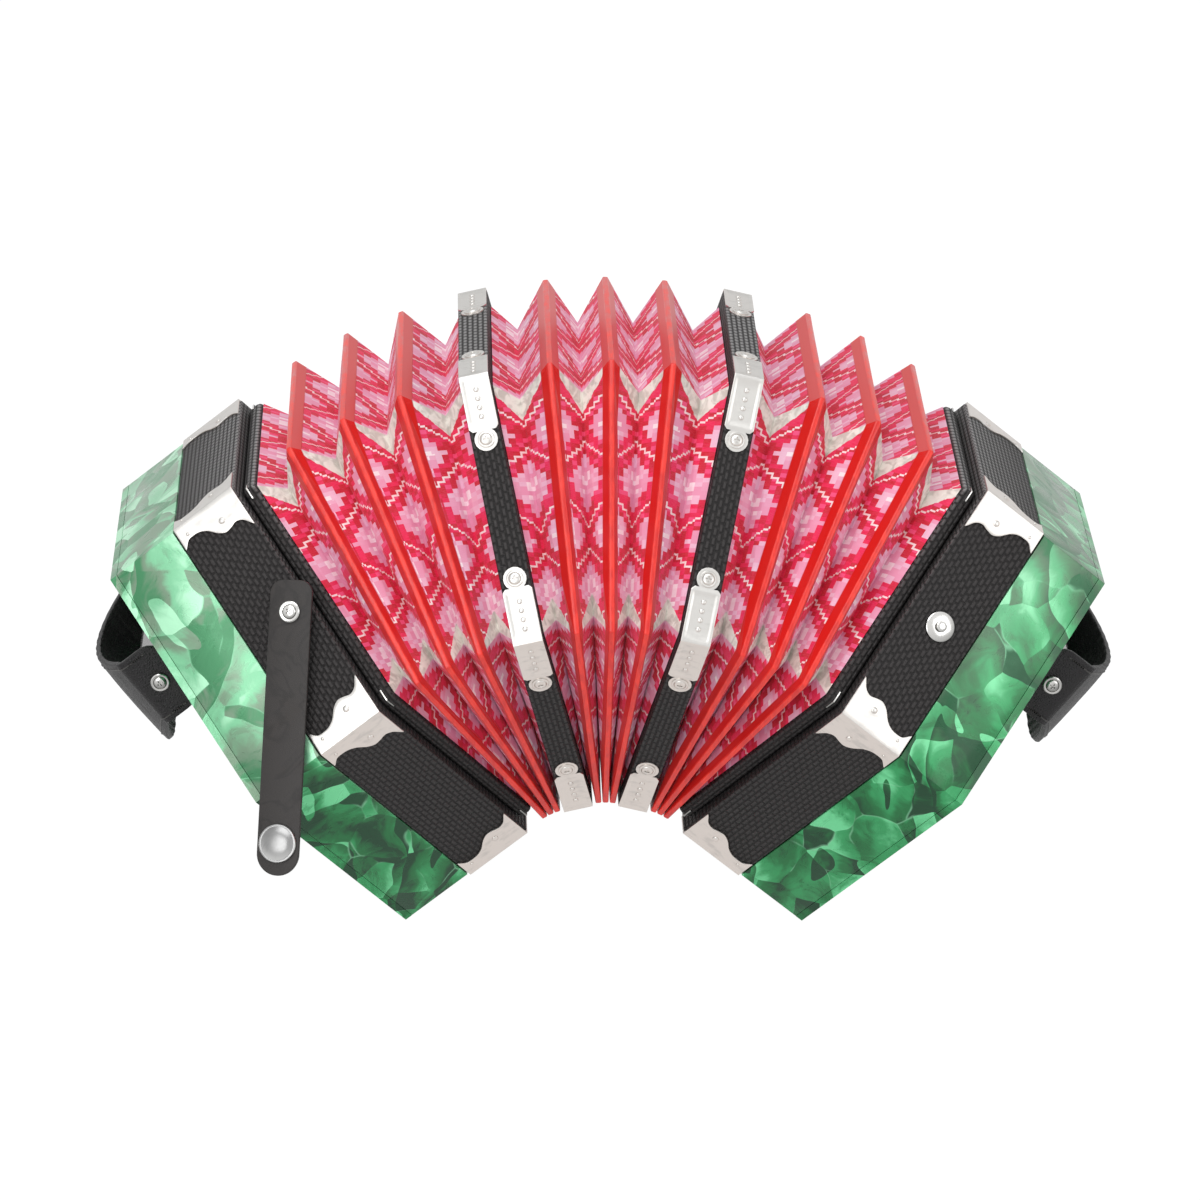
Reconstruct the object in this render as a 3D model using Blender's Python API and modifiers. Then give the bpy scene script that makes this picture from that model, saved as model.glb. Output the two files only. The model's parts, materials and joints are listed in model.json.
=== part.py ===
"""A twenty-button anglo concertina, standing as an arch on the outer lower edges of its two ends.

Metres, +Z up. +X points to the right-hand end and -Y to the player's front.
The origin lies on the surface the instrument stands on, under the middle of its bounding box.

Each plate of the instrument (fold crest, middle frame, end) has its own frame: the origin is the middle of
its bottom flat, local +X runs outwards along the bellows, and local +Z runs up the plate.
"""

import math

import bmesh
import bpy
from mathutils import Matrix, Vector

COLLECTION_NAME = "anglo_concertina"

# The hexagon that casings, frames and fold crests share
ACROSS_FLATS = 0.178
SEAT = 0.0003

# The bellows
CARD_THICKNESS = 0.0008
FOLD_DEPTH = 0.0155
CREST_HALF_WIDTH = 0.0010
CREST_PITCH = 0.0027
FRAME_PITCH = 0.0022
VALLEY_GAP = 0.0003
SHORT_LEG_INSET = 0.0060
SHORT_LEG_SHARE = 0.40
FOLD_TURN = math.radians(6.6)
FRAME_TURN = math.radians(6.7)
END_TURN = math.radians(5.6)

# The two middle frames of the bellows
FRAME_DEPTH = 0.0116
FRAME_RIM = 0.0140

# The stacked casings of an end, from the bellows outwards
BELLOWS_END_DEPTH = 0.0060
BELLOWS_END_STEP = 0.0045
BELLOWS_END_RIM = 0.0120
REED_BOX_DEPTH = 0.0290
REED_BOX_WALL = 0.0090
ACTION_BOX_DEPTH = 0.0270
ACTION_BOX_WALL = 0.0060
END_PLATE_THICKNESS = 0.0030
REED_PAN_THICKNESS = 0.0050
ACTION_BOARD_THICKNESS = 0.0050

# The pressed corner plates of the reed boxes
CAP_THICKNESS = 0.0008
PLATE_SINK = 0.0004
CAP_MARGIN = 0.0006
# How far the cap reaches over a flat, at even steps from its horn by the bellows to its hook outside
CAP_ARMS = (0.0165, 0.0129, 0.0116, 0.0123, 0.0126, 0.0110, 0.0080, 0.0064, 0.0060, 0.0064, 0.0090)

# The corner clips of the middle frames
CLIP_ARM = 0.0210
CLIP_SHOULDER = 0.0012
CLIP_LOBE_CENTRE = 0.0245
CLIP_LOBE_RADIUS = 0.0044
CLIP_SIDE_MARGIN = 0.0002

# The buttons; a rise is a height over the hexagon's middle
BUTTON_RADIUS = 0.0040
BUTTON_CLEARANCE = 0.0004
BUTTON_HEIGHT = 0.0070
BUTTON_DOME = 0.0012
BUTTON_FLANGE = 0.0011
BUTTON_FLANGE_THICKNESS = 0.0015
GUIDE_PIN_RADIUS = 0.0013
GUIDE_PIN_ENTRY = 0.0012
BUTTON_PITCH = 0.0150
BUTTON_ROW_RISE = (-0.0010, -0.0150)
BUTTON_ROW_SHIFT = 0.0045
BUTTON_ROW_ARC = 0.0040
BUTTONS_PER_ROW = 5
AIR_BUTTON_ASIDE = 0.0520
AIR_BUTTON_RISE = 0.0230

# Rounded heads, from the top down: (share of the radius, share of the height below the top)
BUTTON_ROUNDING = ((0.60, 0.25), (0.90, 0.65), (1.00, 1.00))
FLAT_HEAD_ROUNDING = ((0.70, 0.15), (1.00, 0.70), (1.00, 1.00))
ROUND_HEAD_ROUNDING = ((0.60, 0.15), (0.92, 0.60), (1.00, 1.00))
SNAP_CAP_ROUNDING = ((0.50, 0.08), (0.85, 0.38), (1.00, 0.80), (1.00, 1.00))
STUD_POST_ROUNDING = ((0.75, 0.10), (1.00, 0.40), (0.80, 0.80), (0.80, 1.00))
STUD_FLANGE_ROUNDING = ((0.92, 0.00), (1.00, 0.40), (1.00, 1.00))

# The fretwork and vents
FRET_RING_RADIUS = 0.0600
FRET_SLOT_LENGTH = 0.0150
FRET_SLOT_WIDTH = 0.0050
FRET_FAN = math.radians(34.0)
FRET_SLOTS_PER_CORNER = 3
FRET_CORNERS = (0, 3, 4, 5)
PAD_HOLE_RADIUS = 0.0060
PAD_RING_RADIUS = 0.0560
REED_VENT_LENGTH = 0.0260
REED_VENT_WIDTH = 0.0042
REED_VENT_RING_RADIUS = 0.0480
REEDS_PER_PAN = 10
CUT_OVERRUN = 0.0020

# The hand rails and hand straps
RAIL_RISE = 0.0450
RAIL_HALF_LENGTH = 0.0470
RAIL_HEIGHT = 0.0180
RAIL_WIDTH = 0.0160
RAIL_ROUNDING = 0.0025
RAIL_ROUNDING_STEPS = 3
STRAP_LEATHER = 0.0022
STRAP_RISE = 0.0130
STRAP_FOOT = 0.0035
STRAP_BEND_RADIUS = 0.0030
STRAP_BEND_START = 0.0170
STRAP_TIP_WIDTH = 0.0186
STRAP_TIP_CORNER = 0.0022
STRAP_SHOULDER_WIDTH = 0.0276
STRAP_END_WIDTH = 0.0300
STRAP_MID_WIDTH = 0.0460
STRAP_MID_SAG = 0.0090
STRAP_ARC_STATIONS = 9
STRAP_SCREW_HEIGHT = 0.0120
STRAP_SCREW_RADIUS = 0.0036
STRAP_SCREW_HEAD = 0.0014

# The closing strap, its screw and its snap, on the upper front faces
CLOSING_STRAP_WIDTH = 0.0165
CLOSING_END_CORNER = 0.0050
CLOSING_STRAP_THICKNESS = 0.0016
CLOSING_STRAP_REACH = 0.0863
CLOSING_STRAP_LIFT = 0.0042
CLOSING_STRAP_ANGLE = math.radians(52.3)
CLOSING_STRAP_HOLE = 0.0022
CLOSING_END_LENGTH = 0.0120
STRAP_SCREW_OUT = 0.0131
STUD_OUT = 0.0206
DOWN_THE_FACE = 0.0534
ROUND_HEAD_RADIUS = 0.0040
ROUND_HEAD_HEIGHT = 0.0018
SHANK_RADIUS = 0.0015
SHANK_LENGTH = 0.0050
SNAP_CAP_RADIUS = 0.0073
SNAP_CAP_HEIGHT = 0.0026
SNAP_SOCKET_RADIUS = 0.0050
SNAP_RECESS_RADIUS = 0.0030
SNAP_RECESS_DEPTH = 0.0017
SNAP_STUD_RADIUS = 0.0057
SNAP_STUD_POST = 0.0021
SNAP_STUD_HEIGHT = 0.0027
SNAP_STUD_FLANGE = 0.0008
FERRULE_FLANGE = 0.0010
FERRULE_NECK_RADIUS = 0.0028
FERRULE_RADIUS = 0.0036
BORE_CLEARANCE = 0.0004

ROUND_STEPS = 12
FEWER_STEPS = 10
SNAP_CAP_STEPS = 16
ROUND_END_STEPS = 10
CORNER_STEPS = 4
LEFT, RIGHT = -1, 1
SIDE_NAMES = {LEFT: "left", RIGHT: "right"}

APOTHEM = ACROSS_FLATS / 2
RAIL_Z = APOTHEM + RAIL_RISE
CORNER = ACROSS_FLATS / math.sqrt(3)
HALF_TURN = math.pi
SIXTH = math.pi / 3

# Distances along an end's own +X, from the face that the bellows meet
REED_BOX_START = BELLOWS_END_DEPTH + SEAT
REED_BOX_END = REED_BOX_START + REED_BOX_DEPTH
ACTION_BOX_START = REED_BOX_END + SEAT
ACTION_BOX_END = ACTION_BOX_START + ACTION_BOX_DEPTH
END_PLATE_START = ACTION_BOX_END + SEAT
END_FACE = END_PLATE_START + END_PLATE_THICKNESS

MATERIALS = {
    "pearl_green": ((0.10, 0.42, 0.24), 0.22, 0.0),
    "leatherette_black": ((0.025, 0.024, 0.026), 0.62, 0.0),
    "bellows_cloth": ((0.82, 0.10, 0.20), 0.70, 0.0),
    "leather_black": ((0.020, 0.019, 0.020), 0.50, 0.0),
    "polished_steel": ((0.78, 0.77, 0.74), 0.22, 1.0),
    "button_white": ((0.86, 0.85, 0.80), 0.30, 0.0),
    "rail_black": ((0.030, 0.028, 0.028), 0.35, 0.0),
    "wood": ((0.55, 0.38, 0.22), 0.60, 0.0),
}


class Plate:
    """One plate of the half fan: its tilt, its middle plane's foot, and the hinge on its inner side."""

    def __init__(self, tilt, foot_x, foot_z, hinge_x, hinge_z):
        self.tilt = tilt
        self.foot_x = foot_x
        self.foot_z = foot_z
        self.hinge = (hinge_x, hinge_z)

    def matrix(self):
        """The plate's frame on the right-hand half of the fan."""
        return Matrix.Translation((self.foot_x, 0, self.foot_z)) @ Matrix.Rotation(self.tilt, 4, "Y")


def half_fan():
    """The plates from the middle fold to the right end, each hinged to the one before it at the bottom."""
    half_crest = CREST_PITCH / 2
    half_frame_pitch = FRAME_PITCH / 2
    past_frame = half_frame_pitch + FRAME_DEPTH / 2
    steps = [
        (FOLD_TURN, half_crest, half_crest),
        (FRAME_TURN, half_frame_pitch, past_frame),
        (FRAME_TURN, past_frame, half_frame_pitch),
        (FOLD_TURN, half_crest, half_crest),
        (FOLD_TURN, half_crest, half_crest),
        (END_TURN, half_frame_pitch, half_frame_pitch),
    ]
    plates = [Plate(0.0, 0.0, 0.0, 0.0, 0.0)]
    for turn, before, after in steps:
        last = plates[-1]
        hinge_x = last.foot_x + before * math.cos(last.tilt)
        hinge_z = last.foot_z - before * math.sin(last.tilt)
        tilt = last.tilt + turn
        foot_x = hinge_x + after * math.cos(tilt)
        foot_z = hinge_z - after * math.sin(tilt)
        plates.append(Plate(tilt, foot_x, foot_z, hinge_x, hinge_z))
    return plates


PLATES = half_fan()
END_PLATE = PLATES[-1]
STANDING_HEIGHT = END_FACE * math.sin(END_PLATE.tilt) - END_PLATE.foot_z

# The closing strap's round end reaches further forward than the casings reach back
STRAP_TOP = CLOSING_STRAP_LIFT + CLOSING_STRAP_THICKNESS
STRAP_END_RADIUS = CLOSING_STRAP_WIDTH / 2
STRAP_LOWEST = (
    DOWN_THE_FACE
    + math.sin(CLOSING_STRAP_ANGLE) * (CLOSING_STRAP_REACH + CLOSING_END_LENGTH - STRAP_END_RADIUS)
    + STRAP_END_RADIUS
)
FRONT_REACH = CORNER / 2 + STRAP_LOWEST / 2 + STRAP_TOP * math.cos(math.pi / 6)
BACK_REACH = CORNER + CAP_THICKNESS / math.cos(math.pi / 6)
SET_BACK = (FRONT_REACH - BACK_REACH) / 2


def collection_named(name, hidden=False):
    collection = bpy.data.collections.new(name)
    bpy.context.scene.collection.children.link(collection)
    collection.hide_render = hidden
    return collection


def material_named(name):
    """The Principled material of this name, made once."""
    if name in bpy.data.materials:
        return bpy.data.materials[name]
    colour, roughness, metallic = MATERIALS[name]
    material = bpy.data.materials.new(name)
    material.use_nodes = True
    material.diffuse_color = (*colour, 1.0)
    shader = material.node_tree.nodes["Principled BSDF"]
    shader.inputs["Base Color"].default_value = (*colour, 1.0)
    shader.inputs["Roughness"].default_value = roughness
    shader.inputs["Metallic"].default_value = metallic
    return material


def empty_at(name, matrix, parent=None):
    """An empty that carries pieces; matrix is given in the parent's frame."""
    empty = bpy.data.objects.new(name, None)
    empty.empty_display_size = 0.01
    parts.objects.link(empty)
    empty.parent = parent
    empty.matrix_local = matrix
    return empty


def object_from_bmesh(name, shape, collection):
    mesh = bpy.data.meshes.new(name)
    shape.normal_update()
    shape.to_mesh(mesh)
    shape.free()
    obj = bpy.data.objects.new(name, mesh)
    collection.objects.link(obj)
    return obj


def part(name, shape, material, parent, place=None):
    """A sub-part: its mesh in its parent's frame, or at a place in that frame."""
    obj = object_from_bmesh(name, shape, parts)
    obj.data.materials.append(material_named(material))
    obj.parent = parent
    if place is not None:
        obj.matrix_local = place
    return obj


def cutter(name, shape, parent, place=None):
    """A hidden tool for a Boolean."""
    obj = object_from_bmesh(name, shape, cutters)
    obj.hide_render = True
    obj.display_type = "WIRE"
    obj.parent = parent
    if place is not None:
        obj.matrix_local = place
    return obj


def boolean(obj, tool, operation):
    modifier = obj.modifiers.new(operation.lower(), "BOOLEAN")
    modifier.operation = operation
    modifier.solver = "EXACT"
    modifier.object = tool


def cut(obj, tool):
    boolean(obj, tool, "DIFFERENCE")


def join(obj, tool):
    boolean(obj, tool, "UNION")


def evaluated_bmesh(obj):
    """The object's mesh with its modifiers applied, in its own frame; the object is then removed."""
    bpy.context.view_layer.update()
    evaluated = obj.evaluated_get(bpy.context.evaluated_depsgraph_get())
    shape = bmesh.new()
    shape.from_mesh(evaluated.to_mesh())
    evaluated.to_mesh_clear()
    bpy.data.objects.remove(obj)
    return shape


def copies(source, places):
    """One shape that holds a copy of the source at each place."""
    mesh = bpy.data.meshes.new("copied")
    source.to_mesh(mesh)
    source.free()
    whole = bmesh.new()
    for place in places:
        moved = mesh.copy()
        moved.transform(place)
        whole.from_mesh(moved)
        bpy.data.meshes.remove(moved)
    bpy.data.meshes.remove(mesh)
    return whole


# Primitive cylinders run along their own Z; this lays them along a plate's +X
ALONG_X = Matrix.Rotation(math.pi / 2, 4, "Y")


def hexagon_prism(apothem, start, end, capped=True):
    """A hexagonal prism with a flat at its foot, from start to end along +X; its centre is APOTHEM up."""
    shape = bmesh.new()
    radius = apothem / math.cos(math.pi / 6)
    place = Matrix.Translation(((start + end) / 2, 0, APOTHEM)) @ ALONG_X
    bmesh.ops.create_cone(
        shape, cap_ends=capped, segments=6, radius1=radius, radius2=radius, depth=end - start, matrix=place
    )
    return shape


def cylinder(radius, start, end, centre_y=0.0, centre_z=0.0, segments=ROUND_STEPS):
    """A cylinder along +X."""
    shape = bmesh.new()
    place = Matrix.Translation(((start + end) / 2, centre_y, centre_z)) @ ALONG_X
    bmesh.ops.create_cone(
        shape,
        cap_ends=True,
        segments=segments,
        radius1=radius,
        radius2=radius,
        depth=end - start,
        matrix=place,
    )
    return shape


def hexagon_tube(name, apothem, wall, start, end, material, parent):
    """An open hexagonal casing: a skin with its wall grown inwards."""
    tube = part(name, hexagon_prism(apothem, start, end, capped=False), material, parent)
    solidify = tube.modifiers.new("wall", "SOLIDIFY")
    solidify.thickness = wall
    solidify.offset = -1.0
    solidify.use_even_offset = True
    solidify.use_quality_normals = True
    return tube


def turned(name, profile, material, parent, place, steps=ROUND_STEPS):
    """A turned piece about its own Z. The profile lists (radius, height) from its top to its bottom."""
    shape = bmesh.new()
    corners = [shape.verts.new((radius, 0, height)) for radius, height in profile]
    for first, second in zip(corners, corners[1:]):
        shape.edges.new((first, second))
    obj = part(name, shape, material, parent, place)
    screw = obj.modifiers.new("turn", "SCREW")
    screw.steps = steps
    screw.render_steps = steps
    screw.axis = "Z"
    screw.use_merge_vertices = True
    screw.merge_threshold = 0.00001
    return obj


def smooth_round(obj, angle=math.radians(40)):
    obj.data.shade_smooth()
    obj.data.set_sharp_from_angle(angle=angle)


def hexagon_ring(inset):
    """The six corners (y, z) of a plate's hexagon drawn in by inset."""
    radius = (APOTHEM - inset) / math.cos(math.pi / 6)
    return [
        (radius * math.cos(k * SIXTH), APOTHEM + radius * math.sin(k * SIXTH)) for k in range(6)
    ]


def between(first, second, share):
    """A plane part of the way from one plate's plane to the next, by its foot and its tilt."""
    tilt = first.tilt + (second.tilt - first.tilt) * share
    foot_x = first.foot_x + (second.foot_x - first.foot_x) * share
    foot_z = first.foot_z + (second.foot_z - first.foot_z) * share
    return Plate(tilt, foot_x, foot_z, foot_x, foot_z)


def shifted(plate, distance):
    """The plane a distance further along the plate's own +X."""
    return Plate(
        plate.tilt,
        plate.foot_x + distance * math.cos(plate.tilt),
        plate.foot_z - distance * math.sin(plate.tilt),
        *plate.hinge,
    )


def mirrored(plate):
    """The same plate on the left-hand half of the fan."""
    return Plate(-plate.tilt, -plate.foot_x, plate.foot_z, -plate.hinge[0], plate.hinge[1])


def loft(rings, home):
    """A closed band through a loop of hexagonal rings, each (plane, inset), in the home plate's frame."""
    shape = bmesh.new()
    to_home = home.matrix().inverted()
    loops = []
    for plane, inset in rings:
        place = to_home @ plane.matrix()
        loops.append([shape.verts.new(place @ Vector((0, y, z))) for y, z in hexagon_ring(inset)])
    for ring, following in zip(loops, loops[1:] + loops[:1]):
        for k in range(6):
            after = (k + 1) % 6
            shape.faces.new((ring[k], ring[after], following[after], following[k]))
    bmesh.ops.recalc_face_normals(shape, faces=shape.faces)
    bmesh.ops.triangulate(shape, faces=shape.faces, quad_method="SHORT_EDGE")
    return shape


def valley_side(crest, neighbour, way):
    """The rings of one card, from the crest's edge to the valley halfway to the next crest, and back."""
    half = between(crest, neighbour, 0.5)
    return [
        (shifted(crest, way * CREST_HALF_WIDTH), 0.0),
        (shifted(half, -way * VALLEY_GAP / 2), FOLD_DEPTH),
        (shifted(half, -way * (VALLEY_GAP / 2 + CARD_THICKNESS)), FOLD_DEPTH),
        (shifted(crest, way * (CREST_HALF_WIDTH - CARD_THICKNESS)), 2 * CREST_HALF_WIDTH),
    ]


def frame_side(crest, face, way):
    """The rings of the card by a rigid face: down to the valley, then up a short leg glued to the face."""
    valley = between(face, crest, SHORT_LEG_SHARE)
    leg = CARD_THICKNESS / 2
    return [
        (shifted(crest, way * CREST_HALF_WIDTH), 0.0),
        (valley, FOLD_DEPTH),
        (shifted(face, -way * (SEAT + leg)), SHORT_LEG_INSET),
        (shifted(face, -way * SEAT), SHORT_LEG_INSET + CARD_THICKNESS),
        (shifted(valley, way * leg / 2), FOLD_DEPTH + CARD_THICKNESS),
        (shifted(valley, -way * CARD_THICKNESS), FOLD_DEPTH),
        (shifted(crest, way * (CREST_HALF_WIDTH - CARD_THICKNESS)), 2 * CREST_HALF_WIDTH),
    ]


def fold(name, crest, outer_side, inner_side, parent):
    """A bellows fold: two cards meeting at a taped crest, built as one thin closed band."""
    return part(name, loft(outer_side + inner_side[::-1], crest), "bellows_cloth", parent)


def bellows_folds(plates, carriers):
    """The nine folds. The middle one spans both halves; the others come in mirrored pairs."""
    middle, inner, frame, second, third, fourth, end = plates
    fold(
        "fold_middle",
        middle,
        valley_side(middle, inner, 1),
        valley_side(middle, mirrored(inner), -1),
        carriers["fold_middle"],
    )
    frame_inner_face = shifted(frame, -FRAME_DEPTH / 2)
    frame_outer_face = shifted(frame, FRAME_DEPTH / 2)
    for side in (RIGHT, LEFT):
        label = SIDE_NAMES[side]
        layout = {
            "fold_inner": (inner, frame_side(inner, frame_inner_face, 1), valley_side(inner, middle, -1)),
            "fold_second": (
                second,
                valley_side(second, third, 1),
                frame_side(second, frame_outer_face, -1),
            ),
            "fold_third": (third, valley_side(third, fourth, 1), valley_side(third, second, -1)),
            "fold_fourth": (fourth, frame_side(fourth, end, 1), valley_side(fourth, third, -1)),
        }
        for kind, (crest, outwards, inwards) in layout.items():
            name = f"{label}_{kind}"
            fold(name, crest, outwards, inwards, carriers[name])


def half_flange(outline):
    """A flat half plate whose outline lists (across, along); across runs from the bend over one flat.

    It is sunk a little into the flat, so that the plate joins the piece that carries it.
    """
    shape = bmesh.new()
    slope = math.pi / 6
    across_way = Vector((math.cos(slope), 0, -math.sin(slope)))
    outwards = Vector((math.sin(slope), 0, math.cos(slope)))
    corners = [
        shape.verts.new(across_way * across + Vector((0, along, 0)) - outwards * PLATE_SINK)
        for across, along in outline
    ]
    face = shape.faces.new(corners)
    raised = bmesh.ops.extrude_face_region(shape, geom=[face])
    lifted = [item for item in raised["geom"] if isinstance(item, bmesh.types.BMVert)]
    bmesh.ops.translate(shape, verts=lifted, vec=outwards * (CAP_THICKNESS + PLATE_SINK))
    bmesh.ops.recalc_face_normals(shape, faces=shape.faces)
    return shape


def bent_plate(outline):
    """A plate bent over a corner of the hexagon: one flange and its mirror image, joined at the bend."""
    half = object_from_bmesh("half_plate", half_flange(outline), parts)
    mirror = half.modifiers.new("bend", "MIRROR")
    mirror.use_axis = (True, False, False)
    mirror.use_bisect_axis = (True, False, False)
    mirror.merge_threshold = 0.00001
    return evaluated_bmesh(half)


def around_hexagon(along_start):
    """Places of the six corners: local Z points out of the corner and local Y runs along the plate's +X."""
    places = []
    for k in range(6):
        angle = k * SIXTH
        outwards = Vector((0, math.cos(angle), math.sin(angle)))
        along = Vector((1, 0, 0))
        across = along.cross(outwards)
        origin = Vector((along_start, 0, APOTHEM)) + outwards * CORNER
        turn = Matrix((across, along, outwards)).transposed().to_4x4()
        places.append(Matrix.Translation(origin) @ turn)
    return places


def past_the_bend(outline):
    """The outline started a little beyond the bend, so that the mitre cuts through solid plate."""
    overlap = 4 * CAP_THICKNESS
    first_along = outline[0][1]
    last_along = outline[-1][1]
    return [(-overlap, first_along)] + outline + [(-overlap, last_along)]


def corner_cap_outline():
    """An ogee arm: a horn by the bellows, a belly, a waist, and a small hook by the pearl casing."""
    length = REED_BOX_DEPTH - 2 * CAP_MARGIN
    last = len(CAP_ARMS) - 1
    outline = [(arm, CAP_MARGIN + length * station / last) for station, arm in enumerate(CAP_ARMS)]
    return past_the_bend(outline)


def clip_outline():
    """A straight arm as wide as the frame's rim, with a round lobe at its end for the pin."""
    half_width = FRAME_DEPTH / 2 - CLIP_SIDE_MARGIN
    neck = math.sqrt(CLIP_LOBE_RADIUS**2 - (CLIP_LOBE_CENTRE - CLIP_ARM - CLIP_SHOULDER) ** 2)
    start = math.asin(neck / CLIP_LOBE_RADIUS)
    lobe_points = 9
    outline = [(CLIP_ARM, -half_width), (CLIP_ARM + CLIP_SHOULDER, -neck)]
    for step in range(1, lobe_points):
        angle = -(HALF_TURN - start) + 2 * (HALF_TURN - start) * step / lobe_points
        outline.append(
            (
                CLIP_LOBE_CENTRE + CLIP_LOBE_RADIUS * math.cos(angle),
                CLIP_LOBE_RADIUS * math.sin(angle),
            )
        )
    outline += [(CLIP_ARM + CLIP_SHOULDER, neck), (CLIP_ARM, half_width)]
    return past_the_bend(outline)


def middle_frame(side, carrier):
    label = SIDE_NAMES[side]
    half = FRAME_DEPTH / 2
    frame = hexagon_tube(f"{label}_frame", APOTHEM, FRAME_RIM, -half, half, "leatherette_black", carrier)
    clips = copies(bent_plate(clip_outline()), around_hexagon(0.0))
    join(frame, cutter(f"{label}_frame_clips", clips, carrier))


def front_of(side):
    """Which way along an end's own Y the player's front lies: the left end is the right one turned."""
    return -side


def upper_front_face(side, out, down):
    """A place on an end's upper front flat, a distance down from its top corner: X outwards, Z off it."""
    front = front_of(side)
    off_face = Vector((0, front * math.cos(math.pi / 6), math.sin(math.pi / 6)))
    downwards = Vector((0, front * 0.5, -math.cos(math.pi / 6)))
    top_corner = Vector((out, front * CORNER / 2, ACROSS_FLATS))
    outwards = Vector((1, 0, 0))
    third = off_face.cross(outwards)
    turn = Matrix((outwards, third, off_face)).transposed().to_4x4()
    return Matrix.Translation(top_corner + downwards * down) @ turn


def fret_slot(ring_angle, lean):
    """A round-ended slot cut through the end plate, leaning like one leaf of a fan."""
    shape = bmesh.new()
    radius = FRET_SLOT_WIDTH / 2
    half_run = FRET_SLOT_LENGTH / 2 - radius
    end_steps = 5
    outline = []
    for end_angle, shift in ((0.0, half_run), (math.pi, -half_run)):
        for step in range(end_steps):
            angle = end_angle - math.pi / 2 + math.pi * step / (end_steps - 1)
            outline.append((shift + radius * math.cos(angle), radius * math.sin(angle)))
    place = (
        Matrix.Translation((END_PLATE_START - CUT_OVERRUN, 0, APOTHEM))
        @ Matrix.Rotation(ring_angle, 4, "X")
        @ Matrix.Translation((0, FRET_RING_RADIUS, 0))
        @ Matrix.Rotation(lean, 4, "X")
    )
    face = shape.faces.new([shape.verts.new(place @ Vector((0, run, across))) for run, across in outline])
    pushed = bmesh.ops.extrude_face_region(shape, geom=[face])
    moved = [item for item in pushed["geom"] if isinstance(item, bmesh.types.BMVert)]
    depth = END_PLATE_THICKNESS + 2 * CUT_OVERRUN
    bmesh.ops.translate(shape, verts=moved, vec=Vector((depth, 0, 0)))
    bmesh.ops.recalc_face_normals(shape, faces=shape.faces)
    return shape


def merged(shapes):
    """One shape that holds several separate closed shapes."""
    whole = bmesh.new()
    for shape in shapes:
        mesh = bpy.data.meshes.new("merged")
        shape.to_mesh(mesh)
        shape.free()
        whole.from_mesh(mesh)
        bpy.data.meshes.remove(mesh)
    return whole


def button_places():
    """Centres (y, z) of an end's two rows of buttons; each row is a shallow arc."""
    places = {}
    middle = (BUTTONS_PER_ROW - 1) / 2
    for row, rise in enumerate(BUTTON_ROW_RISE):
        for column in range(BUTTONS_PER_ROW):
            steps = column - middle
            shift = BUTTON_ROW_SHIFT * (0.5 - row)
            places[row + 1, column + 1] = (
                steps * BUTTON_PITCH + shift,
                APOTHEM + rise - BUTTON_ROW_ARC * (steps / middle) ** 2,
            )
    return places


def holes_in_end(side):
    """The places of every button hole of an end, the air button's among them."""
    holes = list(button_places().values())
    if side == RIGHT:
        holes.append(air_button_place())
    return holes


def air_button_place():
    return (front_of(RIGHT) * AIR_BUTTON_ASIDE, APOTHEM + AIR_BUTTON_RISE)


def end_plate_cuts(side, carrier):
    """Button holes and fretwork of an end plate, as one tool."""
    start = END_PLATE_START - CUT_OVERRUN
    stop = END_FACE + CUT_OVERRUN
    hole = BUTTON_RADIUS + BUTTON_CLEARANCE
    shapes = [cylinder(hole, start, stop, y, z, segments=ROUND_STEPS) for y, z in holes_in_end(side)]
    for corner in FRET_CORNERS:
        for leaf in range(FRET_SLOTS_PER_CORNER):
            spread = leaf - (FRET_SLOTS_PER_CORNER - 1) / 2
            shapes.append(fret_slot(corner * SIXTH + spread * FRET_FAN / FRET_SLOTS_PER_CORNER, 0.0))
    return cutter(f"{SIDE_NAMES[side]}_end_plate_cuts", merged(shapes), carrier)


def action_board_cuts(side, carrier):
    """Guide holes for the button pins and the ring of pad holes over the reeds."""
    start = ACTION_BOX_START - CUT_OVERRUN
    stop = ACTION_BOX_START + ACTION_BOARD_THICKNESS + CUT_OVERRUN
    guide = GUIDE_PIN_RADIUS + BUTTON_CLEARANCE
    shapes = [cylinder(guide, start, stop, y, z, segments=FEWER_STEPS) for y, z in holes_in_end(side)]
    for k in range(REEDS_PER_PAN):
        angle = 2 * math.pi * k / REEDS_PER_PAN
        centre_y = PAD_RING_RADIUS * math.cos(angle)
        centre_z = APOTHEM + PAD_RING_RADIUS * math.sin(angle)
        shapes.append(cylinder(PAD_HOLE_RADIUS, start, stop, centre_y, centre_z))
    return cutter(f"{SIDE_NAMES[side]}_action_board_cuts", merged(shapes), carrier)


def reed_pan_cuts(side, carrier):
    """A ring of radial vents, one under each pad."""
    shapes = []
    for k in range(REEDS_PER_PAN):
        vent = bmesh.new()
        bmesh.ops.create_cube(vent, size=1.0)
        depth = REED_PAN_THICKNESS + 2 * CUT_OVERRUN
        size = Matrix.Diagonal((depth, REED_VENT_LENGTH, REED_VENT_WIDTH, 1.0))
        place = (
            Matrix.Translation((REED_BOX_START + REED_PAN_THICKNESS / 2, 0, APOTHEM))
            @ Matrix.Rotation(2 * math.pi * k / REEDS_PER_PAN, 4, "X")
            @ Matrix.Translation((0, REED_VENT_RING_RADIUS, 0))
        )
        bmesh.ops.transform(vent, matrix=place @ size, verts=vent.verts)
        shapes.append(vent)
    return cutter(f"{SIDE_NAMES[side]}_reed_pan_cuts", merged(shapes), carrier)


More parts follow.
